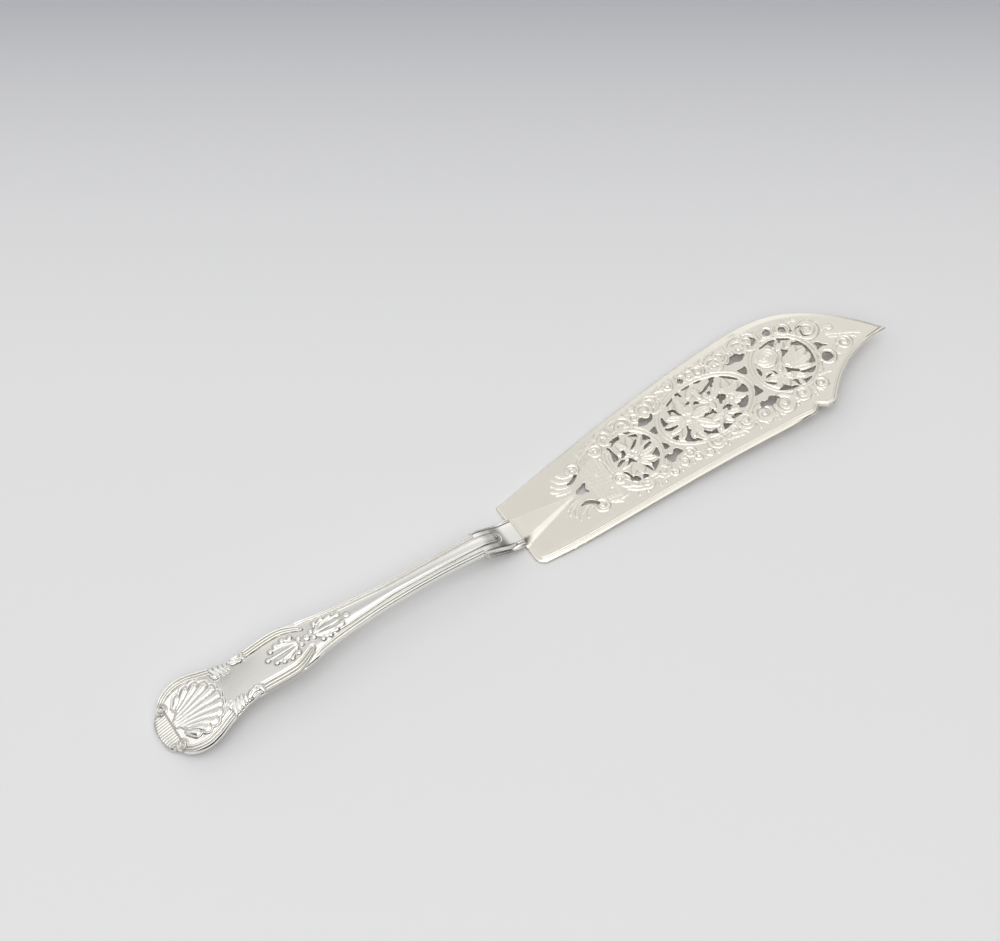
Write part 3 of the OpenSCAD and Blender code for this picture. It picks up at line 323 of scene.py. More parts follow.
# Beads of the border: centre u, centre v, radius
BEADS = [
    (31.5, 11, 0.7), (32.4, -7.3, 0.8), (44, -1.6, 0.6), (43.2, 13, 0.7), (62, -10.8, 0.5),
    (94.9, 20.4, 0.8), (91.3, 20.3, 0.7), (102, 18.9, 1), (105.4, 20.4, 0.9), (114, 19.7, 1),
    (118.2, 19.9, 1), (140.6, 11.8, 1.3), (148.6, -0.6, 1), (96.8, -7.8, 0.9), (104.3, -9.2, 1),
    (113.3, -9.9, 1.1), (121.4, -10, 0.9), (130, -10.4, 0.8), (49.4, -11.9, 0.6), (81.8, 21.2, 0.7),
    (73.2, -10, 0.5), (77.6, -11.2, 0.6), (148.2, 8, 1.3), (68.4, 17.1, 1.1), (90.4, -11.8, 0.5),
    (44.4, -5.8, 0.6), (42.6, 9.3, 0.7), (58.9, 17.4, 0.5), (37.6, 4.4, 0.5), (86.6, 22.8, 0.5),
    (135.6, 13, 0.6), (39.6, -3.1, 0.45), (57.2, -12, 0.5), (64.9, -12, 0.5), (85.6, -12.6, 0.5),
    (66, 22.2, 0.5), (98.7, 23.4, 0.6), (124.6, 18.4, 0.5), (129.9, 17.4, 0.5), (116.9, -13.4, 0.45),
]

# Height in millimetres and share of recess of each kind of raised work
SCROLL_WORK = (0.32, 0.75)
RIBBON_WORK = (0.28, 0.75)
SPRAY_WORK = (0.27, 0.7)
PETAL_WORK = (0.32, 0.8)
BEAD_WORK = (0.32, 0.6)
ROSE_WORK = (0.36, 0.8)
FRAME_WORK = (0.24, 0.5)
INNER_FRAME_WORK = (0.16, 0.4)
PLATE_HIGH = 0.10
# Depth of the chaser's tool marks on raised work, and of the liner's grooves beside it
TOOL_MARKS = 0.03
LINER_DEPTH = 0.18
# A scroll wider than this has a hollow along its middle
WIDE_BAND = 1.15
# Distances between points: along the outer edge, the piercings and the rows inside the edge, and in the field
OUTLINE_STEP = 0.55
PIERCING_STEP = 0.4
ROW_STEP = 0.5
FIELD_STEP = 0.31
STAGGER = 0.87
# The field may be thinner up to the first u and from the second, but not round the tongue
PLAIN_HEEL, PLAIN_TIP = 18, 158
TONGUE_REACH, TONGUE_SIDE = 28.5, 8
# Distances of those rows from the outer edge
EDGE_ROWS = np.array([0.22, 0.42, 0.62, 0.84, 1.06, 1.26, 1.45, 1.62, 1.8, 1.98, 2.16, 2.34, 2.55, 2.8])


def along_band(u, v, a, b, bow):
    """For each point: its share t along a bowed band from a to b, and its distance to the band's middle line.
    The band's middle bows to the left by bow times 4 t (1 - t)."""
    dx, dy = b[0] - a[0], b[1] - a[1]
    length = math.hypot(dx, dy)
    px, py = u - a[0], v - a[1]
    t = (px * dx + py * dy) / length ** 2
    side = (py * dx - px * dy) / length
    return t, side - bow * 4 * t * (1 - t)


def leaf_relief(u, v, leaf, vein=0.0, sharp=0.5):
    """Height and groove of one leaf, round across and pointed at both ends, with a line down its middle if it
    has a vein."""
    au, av, bu, bv, bow, width = leaf
    t, side = along_band(u, v, (au, av), (bu, bv), bow)
    inner = held(t)
    half = width / 2 * np.sqrt(np.sin(np.pi * held(inner ** (1 - 0.35 * sharp)))) + 1e-6
    q = np.where((t > 0) & (t < 1), np.abs(side) / half, 9)
    height = dome(q) ** 0.6
    groove = ((q > 1) & (q < 1.5)) * np.sin(np.pi * held((q - 1) / 0.5))
    return height * (1 - vein * bump(side / 0.22) * ease(t / 0.2) * ease((1 - t) / 0.3)), groove


def scroll_relief(u, v, scroll):
    """Height and groove of one scroll, a band on a spiral: its radius falls from full at its first angle as
    it winds back, so its head winds in towards its bead. A wide band has a hollow along its middle."""
    cu, cv, r0, first, last, width = scroll
    near = np.abs(u - cu) + np.abs(v - cv) < 1.5 * (r0 + 2)
    height, groove = np.zeros_like(u), np.zeros_like(u)
    pu, pv = u[near] - cu, v[near] - cv
    r = np.hypot(pu, pv)
    angle = np.degrees(np.arctan2(pv, pu))
    high, low = np.zeros_like(r), np.zeros_like(r)
    for turn in (-720, -360, 0, 360, 720):
        past = angle + turn - first
        t = held(past / (last - first))
        wound = held(-past / 420)
        radius = r0 * (1 - 0.06 * t - 0.75 * wound)
        half = width / 2 * (1 - 0.45 * t - 0.35 * wound)
        q = np.where((past > -400) & (past < last - first), np.abs(r - radius) / half, 9)
        across = dome(q) ** 0.8
        if width > WIDE_BAND:
            across = across * (0.66 - 0.34 * np.cos(2 * np.pi * np.minimum(q, 1))) * 1.25
        high = np.maximum(high, across)
        low = np.maximum(low, ((q > 0.9) & (q < 1.7)) * np.sin(np.pi * held((q - 0.9) / 0.8)))
    height[near], groove[near] = high, low
    return height, groove


def rose_relief(u, v):
    """A round rose: petals that turn into each other about its middle, with a deep line between them."""
    cu, cv, rad = ROSE
    r = np.hypot(u - cu, v - cv)
    a = np.arctan2(v - cv, u - cu)
    swirl = 0.5 + 0.5 * np.cos(2 * np.pi * (r / 1.55) + 3 * a)
    petals = 0.3 + 0.35 * dome(r / rad) + 0.55 * swirl * ease(r / 0.8)
    return np.where(r < rad, petals, 0) * ease((rad - r) / 0.4)


def chased(u, v):
    """The chasing on the blade, as a height in millimetres and a share of recess for the finish.
    Raised work takes the greatest height at a point, and the liner's grooves lie where nothing is raised."""
    high = np.zeros_like(u)
    low = np.zeros_like(u)

    def lay(found, amount, groove_share):
        """Adds one piece of work, found as its height and groove."""
        nonlocal high, low
        height, groove = found
        high = np.maximum(high, height * amount)
        low = np.maximum(low, groove * groove_share)

    for scroll in SCROLLS:
        lay(scroll_relief(u, v, scroll), *SCROLL_WORK)
    for ribbon in RIBBONS:
        lay(leaf_relief(u, v, ribbon), *RIBBON_WORK)
    for spray in SPRAYS:
        lay(leaf_relief(u, v, spray, vein=0.5), *SPRAY_WORK)
    for petal in PETALS:
        lay(leaf_relief(u, v, petal, vein=0.7, sharp=0.2), *PETAL_WORK)
    for cu, cv, rad in HEARTS + BEADS:
        r = np.hypot(u - cu, v - cv)
        lay((dome(r / rad) ** 0.7, bump((r - rad * 1.15) / 0.18)), *BEAD_WORK)
    rose_gap = np.hypot(u - ROSE[0], v - ROSE[1]) - ROSE[2]
    lay((rose_relief(u, v), bump((rose_gap - 0.15) / 0.2)), *ROSE_WORK)
    for cu, cv, ru, rv in PANELS:
        q = np.hypot((u - cu) / ru, (v - cv) / rv)
        d = (q - 1) * (ru + rv) / 2
        lay((dome(d / 0.62), bump((d - 0.85) / 0.2)), *FRAME_WORK)
        lay((dome((d - 1.5) / 0.42), bump((d - 2.05) / 0.2)), *INNER_FRAME_WORK)
    low_side = mix(-6.6, -8.4, held((u - 34) / 8))
    high_side = mix(9, 12.5, held((u - 33) / 8))
    plate = window(u, 33.0, 41.2, 0.5) * window(v, low_side, high_side, 0.8)
    high = np.maximum(high, PLATE_HIGH * plate)
    low = low * (high < 0.06)
    marks = (np.sin(2.9 * u + 1.7 * v) * np.sin(2.2 * v - 1.9 * u + 0.7)
             + np.sin(4.3 * u - 0.8 * v) * np.sin(3.7 * v + 1.1 * u))
    return high + TOOL_MARKS * marks * (high > 0.05) - LINER_DEPTH * low, low


def tongue_height(u, v):
    """The tongue that runs from the handle on to the blade: a roof that leans to the lower side, with a sharp
    step along its upper side and a wide flank along its lower one, narrowing to a point."""
    length, foot, rise, lean = 27.3, 12.6, 1.9, 1.8
    step_wide, flank_wide, lower_share = 0.55, 2.7, 0.55
    t = held(u / length)
    half = foot / 2 * (1 - t) + 0.1
    side = v - lean * t
    upper = held((half - side) / (step_wide * (1 - 0.5 * t)))
    flank = held((half + side) / (flank_wide * (1 - 0.8 * t)))
    top = rise * (1 - t) ** 0.8 * mix(lower_share, 1, np.clip(side / half, -1, 1) * 0.5 + 0.5)
    sweep = held(1 - u / HEEL_SOFT) ** 2 + 0.02
    return np.where(u < length, (top + sweep) * upper * flank, 0)


def edge_lines(u, v, d):
    """The two fine raised lines that follow the lower edge, the notch and the front, and the grooves beside
    them, where d is the distance from the outline."""
    lower = 1 - ease((v + 8) / 4) * (u < TURN_U)
    front_low = v < mix(-4.3, 8, held((LENGTH - u) / 22))
    lower = np.where(u > NOTCH_U - 6, front_low * 1.0, lower)
    front = ease((u - NOTCH_U + 12) / 14)
    first, second = mix(1.5, 0.42, front), mix(2.15, 1.45, front)
    lines = (0.16 * dome((d - first) / 0.3)
             + 0.18 * dome((d - second) / 0.32))
    grooves = bump((d - (first + second) / 2) / 0.16) + bump((d - second - 0.45) / 0.16)
    return lines * lower * ease((u - 1.5) / 2), grooves * lower * ease((u - 1.5) / 2)


def bevel_drop(u, v, d):
    """How far the top falls to the edge: a filed bevel, wide on the long sides and narrow at the front."""
    upper = v > mix(4.7, -4.3, held(u / LENGTH))
    to_tip = held((u - TURN_U) / (LENGTH - TURN_U))
    wide_up = np.where(u < TURN_U, mix(0.7, 3, ease(u / TURN_U)), mix(3, 1.3, to_tip))
    wide_low = mix(1.25, 0.3, ease((u - NOTCH_U + 14) / 12))
    away = ease(u / HEEL_SOFT)
    width = mix(0.55, np.where(upper, wide_up, wide_low), away)
    return (SHEET - EDGE) * mix(0.3, 1, away) * held(1 - d / width)


def edge_rows(loop, loops, distances, step):
    """Rows of points that follow an outline inside it, at the given distances: each of its points moves along
    its normal, and stays only where it is inside and still that far from the outer outline."""
    ring = closer(loop, step)
    ahead = np.roll(ring, -1, 0) - np.roll(ring, 1, 0)
    normal = np.stack([-ahead[:, 1], ahead[:, 0]], -1) / np.maximum(np.hypot(*ahead.T), 1e-9)[:, None]
    area = (ring[:, 0] * np.roll(ring[:, 1], -1) - ring[:, 1] * np.roll(ring[:, 0], -1)).sum()
    normal = normal * np.sign(area)
    rows = np.concatenate([ring + normal * d for d in distances])
    far = np.repeat(distances, len(ring))
    gap = to_outline(rows, loops[0])
    return rows[(gap > far - 0.04) & inside(rows, loops)]


def cut_out(points, edges, loops):
    """Joins points into triangles within the outlines, all turned the same way."""
    out = delaunay_2d_cdt([Vector(p) for p in points.tolist()], edges, [], 0, 1e-6, False)
    flat = np.array([tuple(p) for p in out[0]])
    tris = np.array(out[2])
    tris = tris[inside(flat[tris].mean(1), loops)]
    a, b = flat[tris[:, 1]] - flat[tris[:, 0]], flat[tris[:, 2]] - flat[tris[:, 0]]
    turned = a[:, 0] * b[:, 1] - a[:, 1] * b[:, 0] < 0
    tris[turned] = tris[turned][:, ::-1]
    return flat, tris


def field_points(outline, loops, step, band):
    """A staggered field of points inside the outlines, thinner where the blade is plain. It keeps clear of
    the outlines themselves and of the band of rows along the outer edge."""
    u0, v0 = outline.min(0) - step
    us = np.arange(u0, outline[:, 0].max() + step, step)
    vs = np.arange(v0, outline[:, 1].max() + step, step * STAGGER)
    grid_u, grid_v = np.meshgrid(us, vs)
    grid_u = grid_u + (np.arange(len(vs)) % 2)[:, None] * step / 2
    taken = np.zeros((len(vs) + 2, len(us) + 2), bool)
    row = np.round((outline[:, 1] - v0) / (step * STAGGER)).astype(int)
    col = np.round((outline[:, 0] - u0 - (row % 2) * step / 2) / step).astype(int)
    taken[np.clip(row, 0, len(vs) + 1), np.clip(col, 0, len(us) + 1)] = True
    keep = ~taken[:len(vs), :len(us)]
    inner = np.stack([grid_u[keep], grid_v[keep]], -1)
    inner = inner[inside(inner, loops)]
    gap = to_outline(inner, loops[0])
    inner, gap = inner[gap > band], gap[gap > band]
    i, j = np.round(inner[:, 0] / step).astype(int), np.round(inner[:, 1] / step).astype(int)
    plain = (inner[:, 0] < PLAIN_HEEL) & (gap > 1) | (inner[:, 0] > PLAIN_TIP) | (gap < band + 1)
    plain = plain & ~((inner[:, 0] < TONGUE_REACH) & (np.abs(inner[:, 1]) < TONGUE_SIDE))
    return inner[~plain | ((i % 2 == 0) & (j % 2 == 0))]


def make_blade():
    """The blade as a skin of small triangles over its sawn outline: the top at the sheet's height plus the
    chasing, less the bevel, a flat underside of large triangles, and upright walls along each outline."""
    loops = sawn_loops()
    loops.sort(key=lambda p: -np.ptp(p[:, 0]))
    fine = [closer(p, PIERCING_STEP if k else OUTLINE_STEP) for k, p in enumerate(loops)]
    outline = np.concatenate(fine)
    starts = np.cumsum([0] + [len(p) for p in fine])
    edges = []
    for a, b in zip(starts[:-1].tolist(), starts[1:].tolist()):
        edges += [(a + k, a + (k + 1) % (b - a)) for k in range(b - a)]
    rows = edge_rows(loops[0], loops, EDGE_ROWS, ROW_STEP)
    inner = field_points(outline, loops, FIELD_STEP, EDGE_ROWS[-1] + 0.15)
    flat, tris = cut_out(np.concatenate([outline, rows, inner]), edges, loops)
    u, v = flat.T
    d = to_outline(flat, loops[0])
    relief, recess = chased(u, v)
    clear = ease((d - 1.2) / 1.2) * ease((u - 15) / 3)
    lines, grooves = edge_lines(u, v, d)
    raised = np.maximum(relief * clear, tongue_height(u, v))
    top = SHEET + raised + lines - 0.05 * grooves - bevel_drop(u, v, d)
    _, under = cut_out(outline, edges, loops)
    n, m = len(flat), len(outline)
    place = np.concatenate([blade_place(u, v, top), blade_place(*outline.T, np.zeros(m))])
    half = np.concatenate([tris[:, [0, 1]], tris[:, [1, 2]], tris[:, [2, 0]]])
    code = half[:, 0].astype(np.int64) * n + half[:, 1]
    rim = half[~np.isin(code, half[:, 1].astype(np.int64) * n + half[:, 0])]
    walls = np.concatenate([np.stack([rim[:, 1], rim[:, 0], rim[:, 0] + n], -1),
                            np.stack([rim[:, 1], rim[:, 0] + n, rim[:, 1] + n], -1)])
    faces = np.concatenate([tris, under[:, ::-1] + n, walls]).tolist()
    piece = make_piece("blade_pierced", place, faces)
    add_values(piece, "recess", np.concatenate([np.maximum(recess * clear, 0.35 * grooves), np.zeros(m)]))
    return piece


# The handle, with s along it from its end to the blade, in millimetres

HANDLE_LENGTH = 144.0
# Half widths: at the shell, the waist, the swell behind it, the stem and the shoulder block
SHELL_HALF = 14.2
WAIST_HALF = 9.0
SWELL_HALF = 9.5
STEM_HALF = 4.3
SHOULDER_HALF = 6.4
# Where the shoulder block starts, and where the stem is narrowest
SHOULDER_S = HANDLE_LENGTH - 16.5
STEM_S = SHOULDER_S - 19
# Heights of the top at the arch and at the joint, and thicknesses
ARCH = 12.5
JOINT = 4.6
STEM_THICK = 4.8
SHELL_THICK = 3.6
# Half width, height of the top, and thickness, each as s and value
HALF_WIDTH = [
    (0, 0.22 * SHELL_HALF), (0.5, 0.37 * SHELL_HALF), (1.5, 0.49 * SHELL_HALF), (3.2, 0.6 * SHELL_HALF),
    (5.2, 0.79 * SHELL_HALF), (8, 0.925 * SHELL_HALF), (12.5, SHELL_HALF), (17, 0.955 * SHELL_HALF),
    (21, 0.85 * SHELL_HALF), (26, mix(WAIST_HALF, SHELL_HALF, 0.26)), (31, WAIST_HALF), (37, WAIST_HALF),
    (46, SWELL_HALF), (52, 0.98 * SWELL_HALF), (57, 0.885 * SWELL_HALF), (62, 0.77 * SWELL_HALF),
    (68, 0.67 * SWELL_HALF), (76, mix(STEM_HALF, SWELL_HALF, 0.24)), (88, mix(STEM_HALF, SWELL_HALF, 0.07)),
    (STEM_S, STEM_HALF), (SHOULDER_S, STEM_HALF + 0.4),
]
TOP = [
    (0, 0.15 * ARCH), (5, 0.3 * ARCH), (13, 0.5 * ARCH), (24, 0.69 * ARCH), (34, 0.81 * ARCH),
    (46, 0.92 * ARCH), (60, 0.98 * ARCH), (82, ARCH), (STEM_S, 0.975 * ARCH), (SHOULDER_S - 6, 0.92 * ARCH),
    (SHOULDER_S + 1, 0.85 * ARCH), (SHOULDER_S + 6, mix(JOINT, ARCH, 0.5)),
    (SHOULDER_S + 11, mix(JOINT, ARCH, 0.17)), (HANDLE_LENGTH, JOINT),
]
THICKNESS = [
    (0, 0.15 * ARCH), (5, 0.86 * SHELL_THICK), (15, SHELL_THICK), (34, 0.95 * STEM_THICK), (60, STEM_THICK),
    (STEM_S, STEM_THICK), (SHOULDER_S, STEM_THICK + 0.5), (HANDLE_LENGTH, JOINT),
]
# Share of the thickness that is left at the handle's edges
EDGE_SHARE = 0.42
# The shell's fan: its point, the angle between two flutes in degrees, and the hinge where they start
FAN_S = 4.3
FAN_STEP = 9.6
SHELL_S = 5.4
# The shell: its flutes on each side of the middle one, their height, and that of the bed between them
FLUTES_A_SIDE = 5
FLUTE_HIGH = 0.78
SHELL_BED_HIGH = 0.44
# The comb of fine ribs behind the hinge, and the volutes beside it: s, y and radius
RIB_PITCH = 0.98
VOLUTE = (4.9, 7.5, 2.1)
# How far the stem's raised panel reaches on to the shoulder
ARCH_REACH = 8.3
# Leaves of the double palmette: s and y of each bead, where the two halves meet, and where their leaves start
LEAF_BEADS = [
    (42.9, 0), (45.1, 2.4), (47.5, 3.3), (50.3, 3.9), (53.1, 3.3), (73.6, 0), (70.9, 2), (68.3, 2.9),
    (65.5, 3.5), (62.7, 3.4),
]
HEART_S = 57
LEAF_FEET = (54.2, 61.2)
# Beads between the two halves: s, y, radius and height
HEART_BEADS = [
    (57.9, 0, 1.35, 1.1), (55.4, 1.2, 0.95, 0.9), (60.2, 1.2, 0.95, 0.9),
]
# Leaves across the frame at the waist: from s and depth, to s and depth, half width
KNOT_LEAVES = [
    (25, 0.5, 26.6, 4.9, 0.85), (26.7, 0.2, 28.2, 5, 0.85), (28.4, 0.2, 29.7, 4.6, 0.8),
    (30, 0.3, 30.9, 3.6, 0.6), (31, 0.9, 34.6, 2.9, 1.15), (32.2, 0.2, 35.6, 0.9, 0.7),
    (36.6, 0.1, 36.6, 3.7, 0.55), (24.2, 3.2, 25.4, 5.2, 0.6),
]
# The handle's sections: from s, to s, distance between them
SECTION_RUNS = [
    (0, 0.6, 0.12), (0.6, 25.5, 0.19), (25.5, 37.5, 0.2), (37.5, 41, 0.5), (41, 75, 0.22),
    (75, SHOULDER_S - 0.15, 0.9), (SHOULDER_S - 0.15, SHOULDER_S + 0.3, 0.09),
    (SHOULDER_S + 0.3, HANDLE_LENGTH, 0.25),
]
# Points across the top and across the underside, and how evenly those of the top are spread
TOP_COLUMNS = 165
LOW_COLUMNS = 31
CROWDING = 0.72


def half_width(s):
    """Half the handle's width at s, with the step out to the shoulder block."""
    block = SHOULDER_HALF - 0.2 * held((HANDLE_LENGTH - s) / 16.5)
    return np.where(s > SHOULDER_S, block, through(HALF_WIDTH, s))


def ridge(gap, half):
    """A round raised line of the given half width, where gap is the distance from its middle."""
    return round_dome(gap / half)


def shell_rim(angle):
    """The reach of the shell's flutes from its fan point, greatest along the middle."""
    return 19.4 - 8.3 * np.minimum(1.2, np.abs(angle) / 48) ** 2.2


def shell_relief(s, y):
    """The scallop shell: flutes that leave the hinge side by side and curve outwards to rounded tips, with a
    thin line between each pair, and a raised line that follows the scalloped rim.
    For each flute the distance to its bent middle line is taken at the same radius from the fan point."""
    root_r, bend, spread, root_half = 1.6, 0.3, 0.075, 0.28
    r = np.hypot(s - FAN_S, y)
    flute, bed, groove, rim_line = (np.zeros_like(s) for _ in range(4))
    started = ease((s - SHELL_S - 0.1) / 0.4)
    for k in range(-FLUTES_A_SIDE, FLUTES_A_SIDE + 1):
        angle = k * FAN_STEP
        reach = float(shell_rim(np.array(angle)))
        t = np.clip((r - root_r) / (reach - root_r), 0, 1.3)
        slack = (1 - np.minimum(t, 1)) ** 2
        turn = np.radians(angle * (1 - bend * slack))
        side = np.hypot(s - FAN_S - r * np.cos(turn), y - r * np.sin(turn) - spread * angle * slack)
        half = root_half + r * math.radians(FAN_STEP) / 2 * mix(0.9, 1.08, held(t * 1.3))
        tip = reach - half * 0.9
        q = np.hypot(side, np.maximum(r - tip, 0)) / half
        body = dome(q / 0.94) ** 0.6
        flute = np.maximum(flute, started * body * mix(0.45, 1, ease(t * 1.1)))
        bed = np.maximum(bed, started * ease((1.35 - q) / 0.25))
        groove = np.maximum(groove, started * bump((q - 0.99) / 0.12))
        rim_line = np.maximum(rim_line, started * ridge((q - 1.27) * half, 0.36) * (t > 0.5))
    raised = np.maximum(FLUTE_HIGH * flute, SHELL_BED_HIGH * bed)
    return raised, groove * (flute < 0.75), rim_line * 0.55 * (flute < 0.02)


def leaf_ribs(s, y):
    """The palmette: each leaf is a rib that widens from its foot to a bead, with a dark line round it."""
    best, groove = np.zeros_like(s), np.zeros_like(s)
    ay = np.abs(y)
    for bs, by in LEAF_BEADS:
        foot = LEAF_FEET[0] if bs < HEART_S else LEAF_FEET[1]
        fy = 0.25 if by < 1 else 0.55
        ds, dy = bs - foot, by - fy
        t = held(((s - foot) * ds + (ay - fy) * dy) / (ds * ds + dy * dy))
        gap = np.hypot(s - foot - ds * t, ay - fy - dy * t - 0.5 * np.sin(np.pi * t) * (by > 1))
        half = mix(0.30, 0.56, t)
        best = np.maximum(best, 0.62 * ridge(gap, half))
        groove = np.maximum(groove, bump((gap - half * 1.15) / 0.2))
        bead = np.hypot(s - bs, ay - by)
        best = np.maximum(best, 1.05 * ridge(bead, 0.95))
        groove = np.maximum(groove, bump((bead - 1.1) / 0.2))
    return best, groove * (best < 0.25)


def heart_relief(s, ay):
    """The bead between the two palmettes, and the four eyed beads round it."""
    hearts, groove = np.zeros_like(s), np.zeros_like(s)
    for cs, cy, rad, high in HEART_BEADS:
        r = np.hypot(s - cs, ay - cy)
        eye = 0.5 * bump(r / 0.3) * (cy > 0)
        hearts = np.maximum(hearts, high * ridge(r, rad) * (1 - eye))
        groove = np.maximum(groove, np.maximum(bump((r - rad - 0.1) / 0.2), eye))
    return hearts, groove


def spiral_boss(s, y, cs, cy, rad):
    """A volute: a spiral line that winds in from its rim to a bead."""
    r = np.hypot(s - cs, y - cy)
    a = np.arctan2(y - cy, s - cs)
    line = np.clip(np.cos(2 * np.pi * (r / (rad * 0.55) - a / (2 * np.pi))), -0.4, 1)
    boss = np.where(r < rad, (0.45 + 0.55 * line) * ease((rad - r) / 0.3), 0)
    return boss, np.where(r < rad, held(-line * 2.2), bump((r - rad - 0.1) / 0.2))


def knots(s, d):
    """Veined leaves that cross the frame at the waist, and a ring and a curl beside them."""
    best, groove = np.zeros_like(s), np.zeros_like(s)
    for s0, d0, s1, d1, half in KNOT_LEAVES:
        t, gap = along_band(s, d, (s0, d0), (s1, d1), 0.3)
        w = half * held(np.sin(np.pi * held(t))) ** 0.4 + 1e-6
        q = np.where((t > 0) & (t < 1), np.abs(gap) / w, 9)
        best = np.maximum(best, ridge(q, 1) * (1 - 0.4 * bump(gap / 0.22)))
        groove = np.maximum(groove, bump((q - 1.2) / 0.2))
    ring = np.hypot(s - 34.9, d - 2.6)
    best = np.maximum(best, ridge(ring - 0.75, 0.5))
    groove = np.maximum(groove, np.maximum(bump(ring / 0.3), bump((ring - 1.4) / 0.2)))
    curl = np.hypot(s - 25.2, d - 5.0)
    best = np.maximum(best, 0.8 * ridge(curl - 0.7, 0.4))
    return best, np.maximum(groove, bump(curl / 0.35)) * (best < 0.25)


def threads(s, d):
    """The three reeds of the frame, where d is the distance from the edge: round the shell end, and again
    along the waist, where they bend inwards as a hook, the outer pair closing round the middle one's end."""
    first = window(s, 4.2, 25.2, 1.2)
    along_edge = ridge(d - 0.62, 0.55)
    along_edge = np.maximum(along_edge, 0.9 * ridge(d - 1.75, 0.45))
    along_edge = np.maximum(along_edge, 0.8 * ridge(d - 2.8, 0.42))
    grooves = bump((d - 1.22) / 0.16) + bump((d - 2.3) / 0.16) + 0.8 * bump((d - 3.35) / 0.2)
    bent = held((s - 49.5) / 8.6)
    lead = 1.7 + 2.1 * bent ** 1.5
    width = mix(1.0, 0.85, bent)
    q = np.hypot(d - lead, np.maximum(s - 57.4, 0)) / width
    second = ease((s - 36.8) / 0.8) * (s < 60)
    hook = np.maximum(0.9 * ridge(q, 0.42), ridge(q - 1.08, 0.48))
    hook_grooves = bump((q - 0.55) / 0.16) + bump((q - 1.68) / 0.2)
    return (np.maximum(first * along_edge, second * hook),
            np.maximum(first * grooves, second * hook_grooves))


def stem_lines(s, y, d):
    """The lines of the stem: two along each edge, and a raised panel that ends in an arch on the shoulder."""
    edge = ease((s - 56) / 4)
    middle = mix(0.36 * STEM_HALF, 0.75 * STEM_HALF, held((92 - s) / 20))
    q = np.hypot(np.abs(y), np.maximum(s - (SHOULDER_S + ARCH_REACH - middle), 0))
    fade = ease((s - 64) / 8)
    raised = np.maximum(edge * ridge(d - 0.5, 0.45), edge * 0.8 * ridge(d - 1.45, 0.36))
    raised = np.maximum(raised, fade * 0.8 * ridge(q - middle, 0.42))
    arch = 1 + 0.8 * ease((s - SHOULDER_S + 4) / 5)
    grooves = (edge * (bump((d - 1.0) / 0.16) + bump((d - 1.95) / 0.18))
               + fade * arch * bump((q - middle - 0.6) / 0.24))
    panel = fade * 0.4 * (q < middle) * dome(q / middle) ** 0.5
    return raised, panel, grooves


def handle_relief(s, y, half):
    """All that stands on the handle's top, and the share of recess for the finish: shell, ribs, volutes,
    palmettes, knots, threads, hooks and stem lines."""
    ay = np.abs(y)
    d = half - ay
    shell, shell_groove, rim_line = shell_relief(s, y)
    ribs_on = ease((SHELL_S - 0.15 - s) / 0.3) * ease((6.8 - ay) / 0.5) * ease((half - ay) / 0.8)
    comb = np.cos(2 * np.pi * y / RIB_PITCH)
    ribs = 0.3 * ribs_on * (0.5 + 0.5 * comb)
    hinge = bump((s - SHELL_S) / 0.2) * (ay < 6.4)
    volute, volute_groove = spiral_boss(s, ay, *VOLUTE)
    leaves, leaf_groove = leaf_ribs(s, y)
    hearts, heart_groove = heart_relief(s, ay)
    knot, knot_groove = knots(s, d)
    reeds, reed_groove = threads(s, d)
    lines, panel, line_groove = stem_lines(s, y, d)
    free = 1 - held(np.maximum(volute, knot) * 3)
    ledge = (-1.3 * ease((s - SHOULDER_S + 0.2) / 0.3) * ease((HANDLE_LENGTH - 2 - s) / 4)
             * ease((ay - STEM_HALF - 0.35) / 0.4))
    raised = np.maximum.reduce([
        shell, rim_line, 0.8 * volute, 0.62 * leaves, 0.7 * hearts, 0.85 * knot,
        0.6 * reeds * free, 0.34 * lines, panel])
    dark = np.maximum.reduce([
        shell_groove, hinge, 0.9 * ribs_on * held(-comb), 0.9 * volute_groove * (ay > 4), leaf_groove,
        0.55 * heart_groove, 0.85 * knot_groove, 0.85 * reed_groove * free, 0.4 * line_groove])
    sunk = (0.16 * held(reed_groove * free) + 0.12 * held(line_groove)
            + 0.2 * shell_groove * (shell > 0.02))
    return raised - sunk + ribs - 0.35 * hinge + ledge, held(dark)


def handle_crown(s, y, half):
    """The crown of the top: the stem is rounded, the shell end nearly flat, and the edges fall away."""
    q = np.abs(y) / half
    shoulder = mix(0.5, 0.9, ease((s - 60) / 20)) * q ** 4
    return -shoulder - 0.2 * q ** 2 - 0.35 * dome((1 - q) / 0.05)


def section_places():
    """Places of the handle's sections, closer together where the relief is fine."""
    runs = []
    for a, b, step in SECTION_RUNS:
        runs.append(np.linspace(a, b, max(2, int(round((b - a) / step))), endpoint=False))
    return np.concatenate(runs + [[HANDLE_LENGTH]])


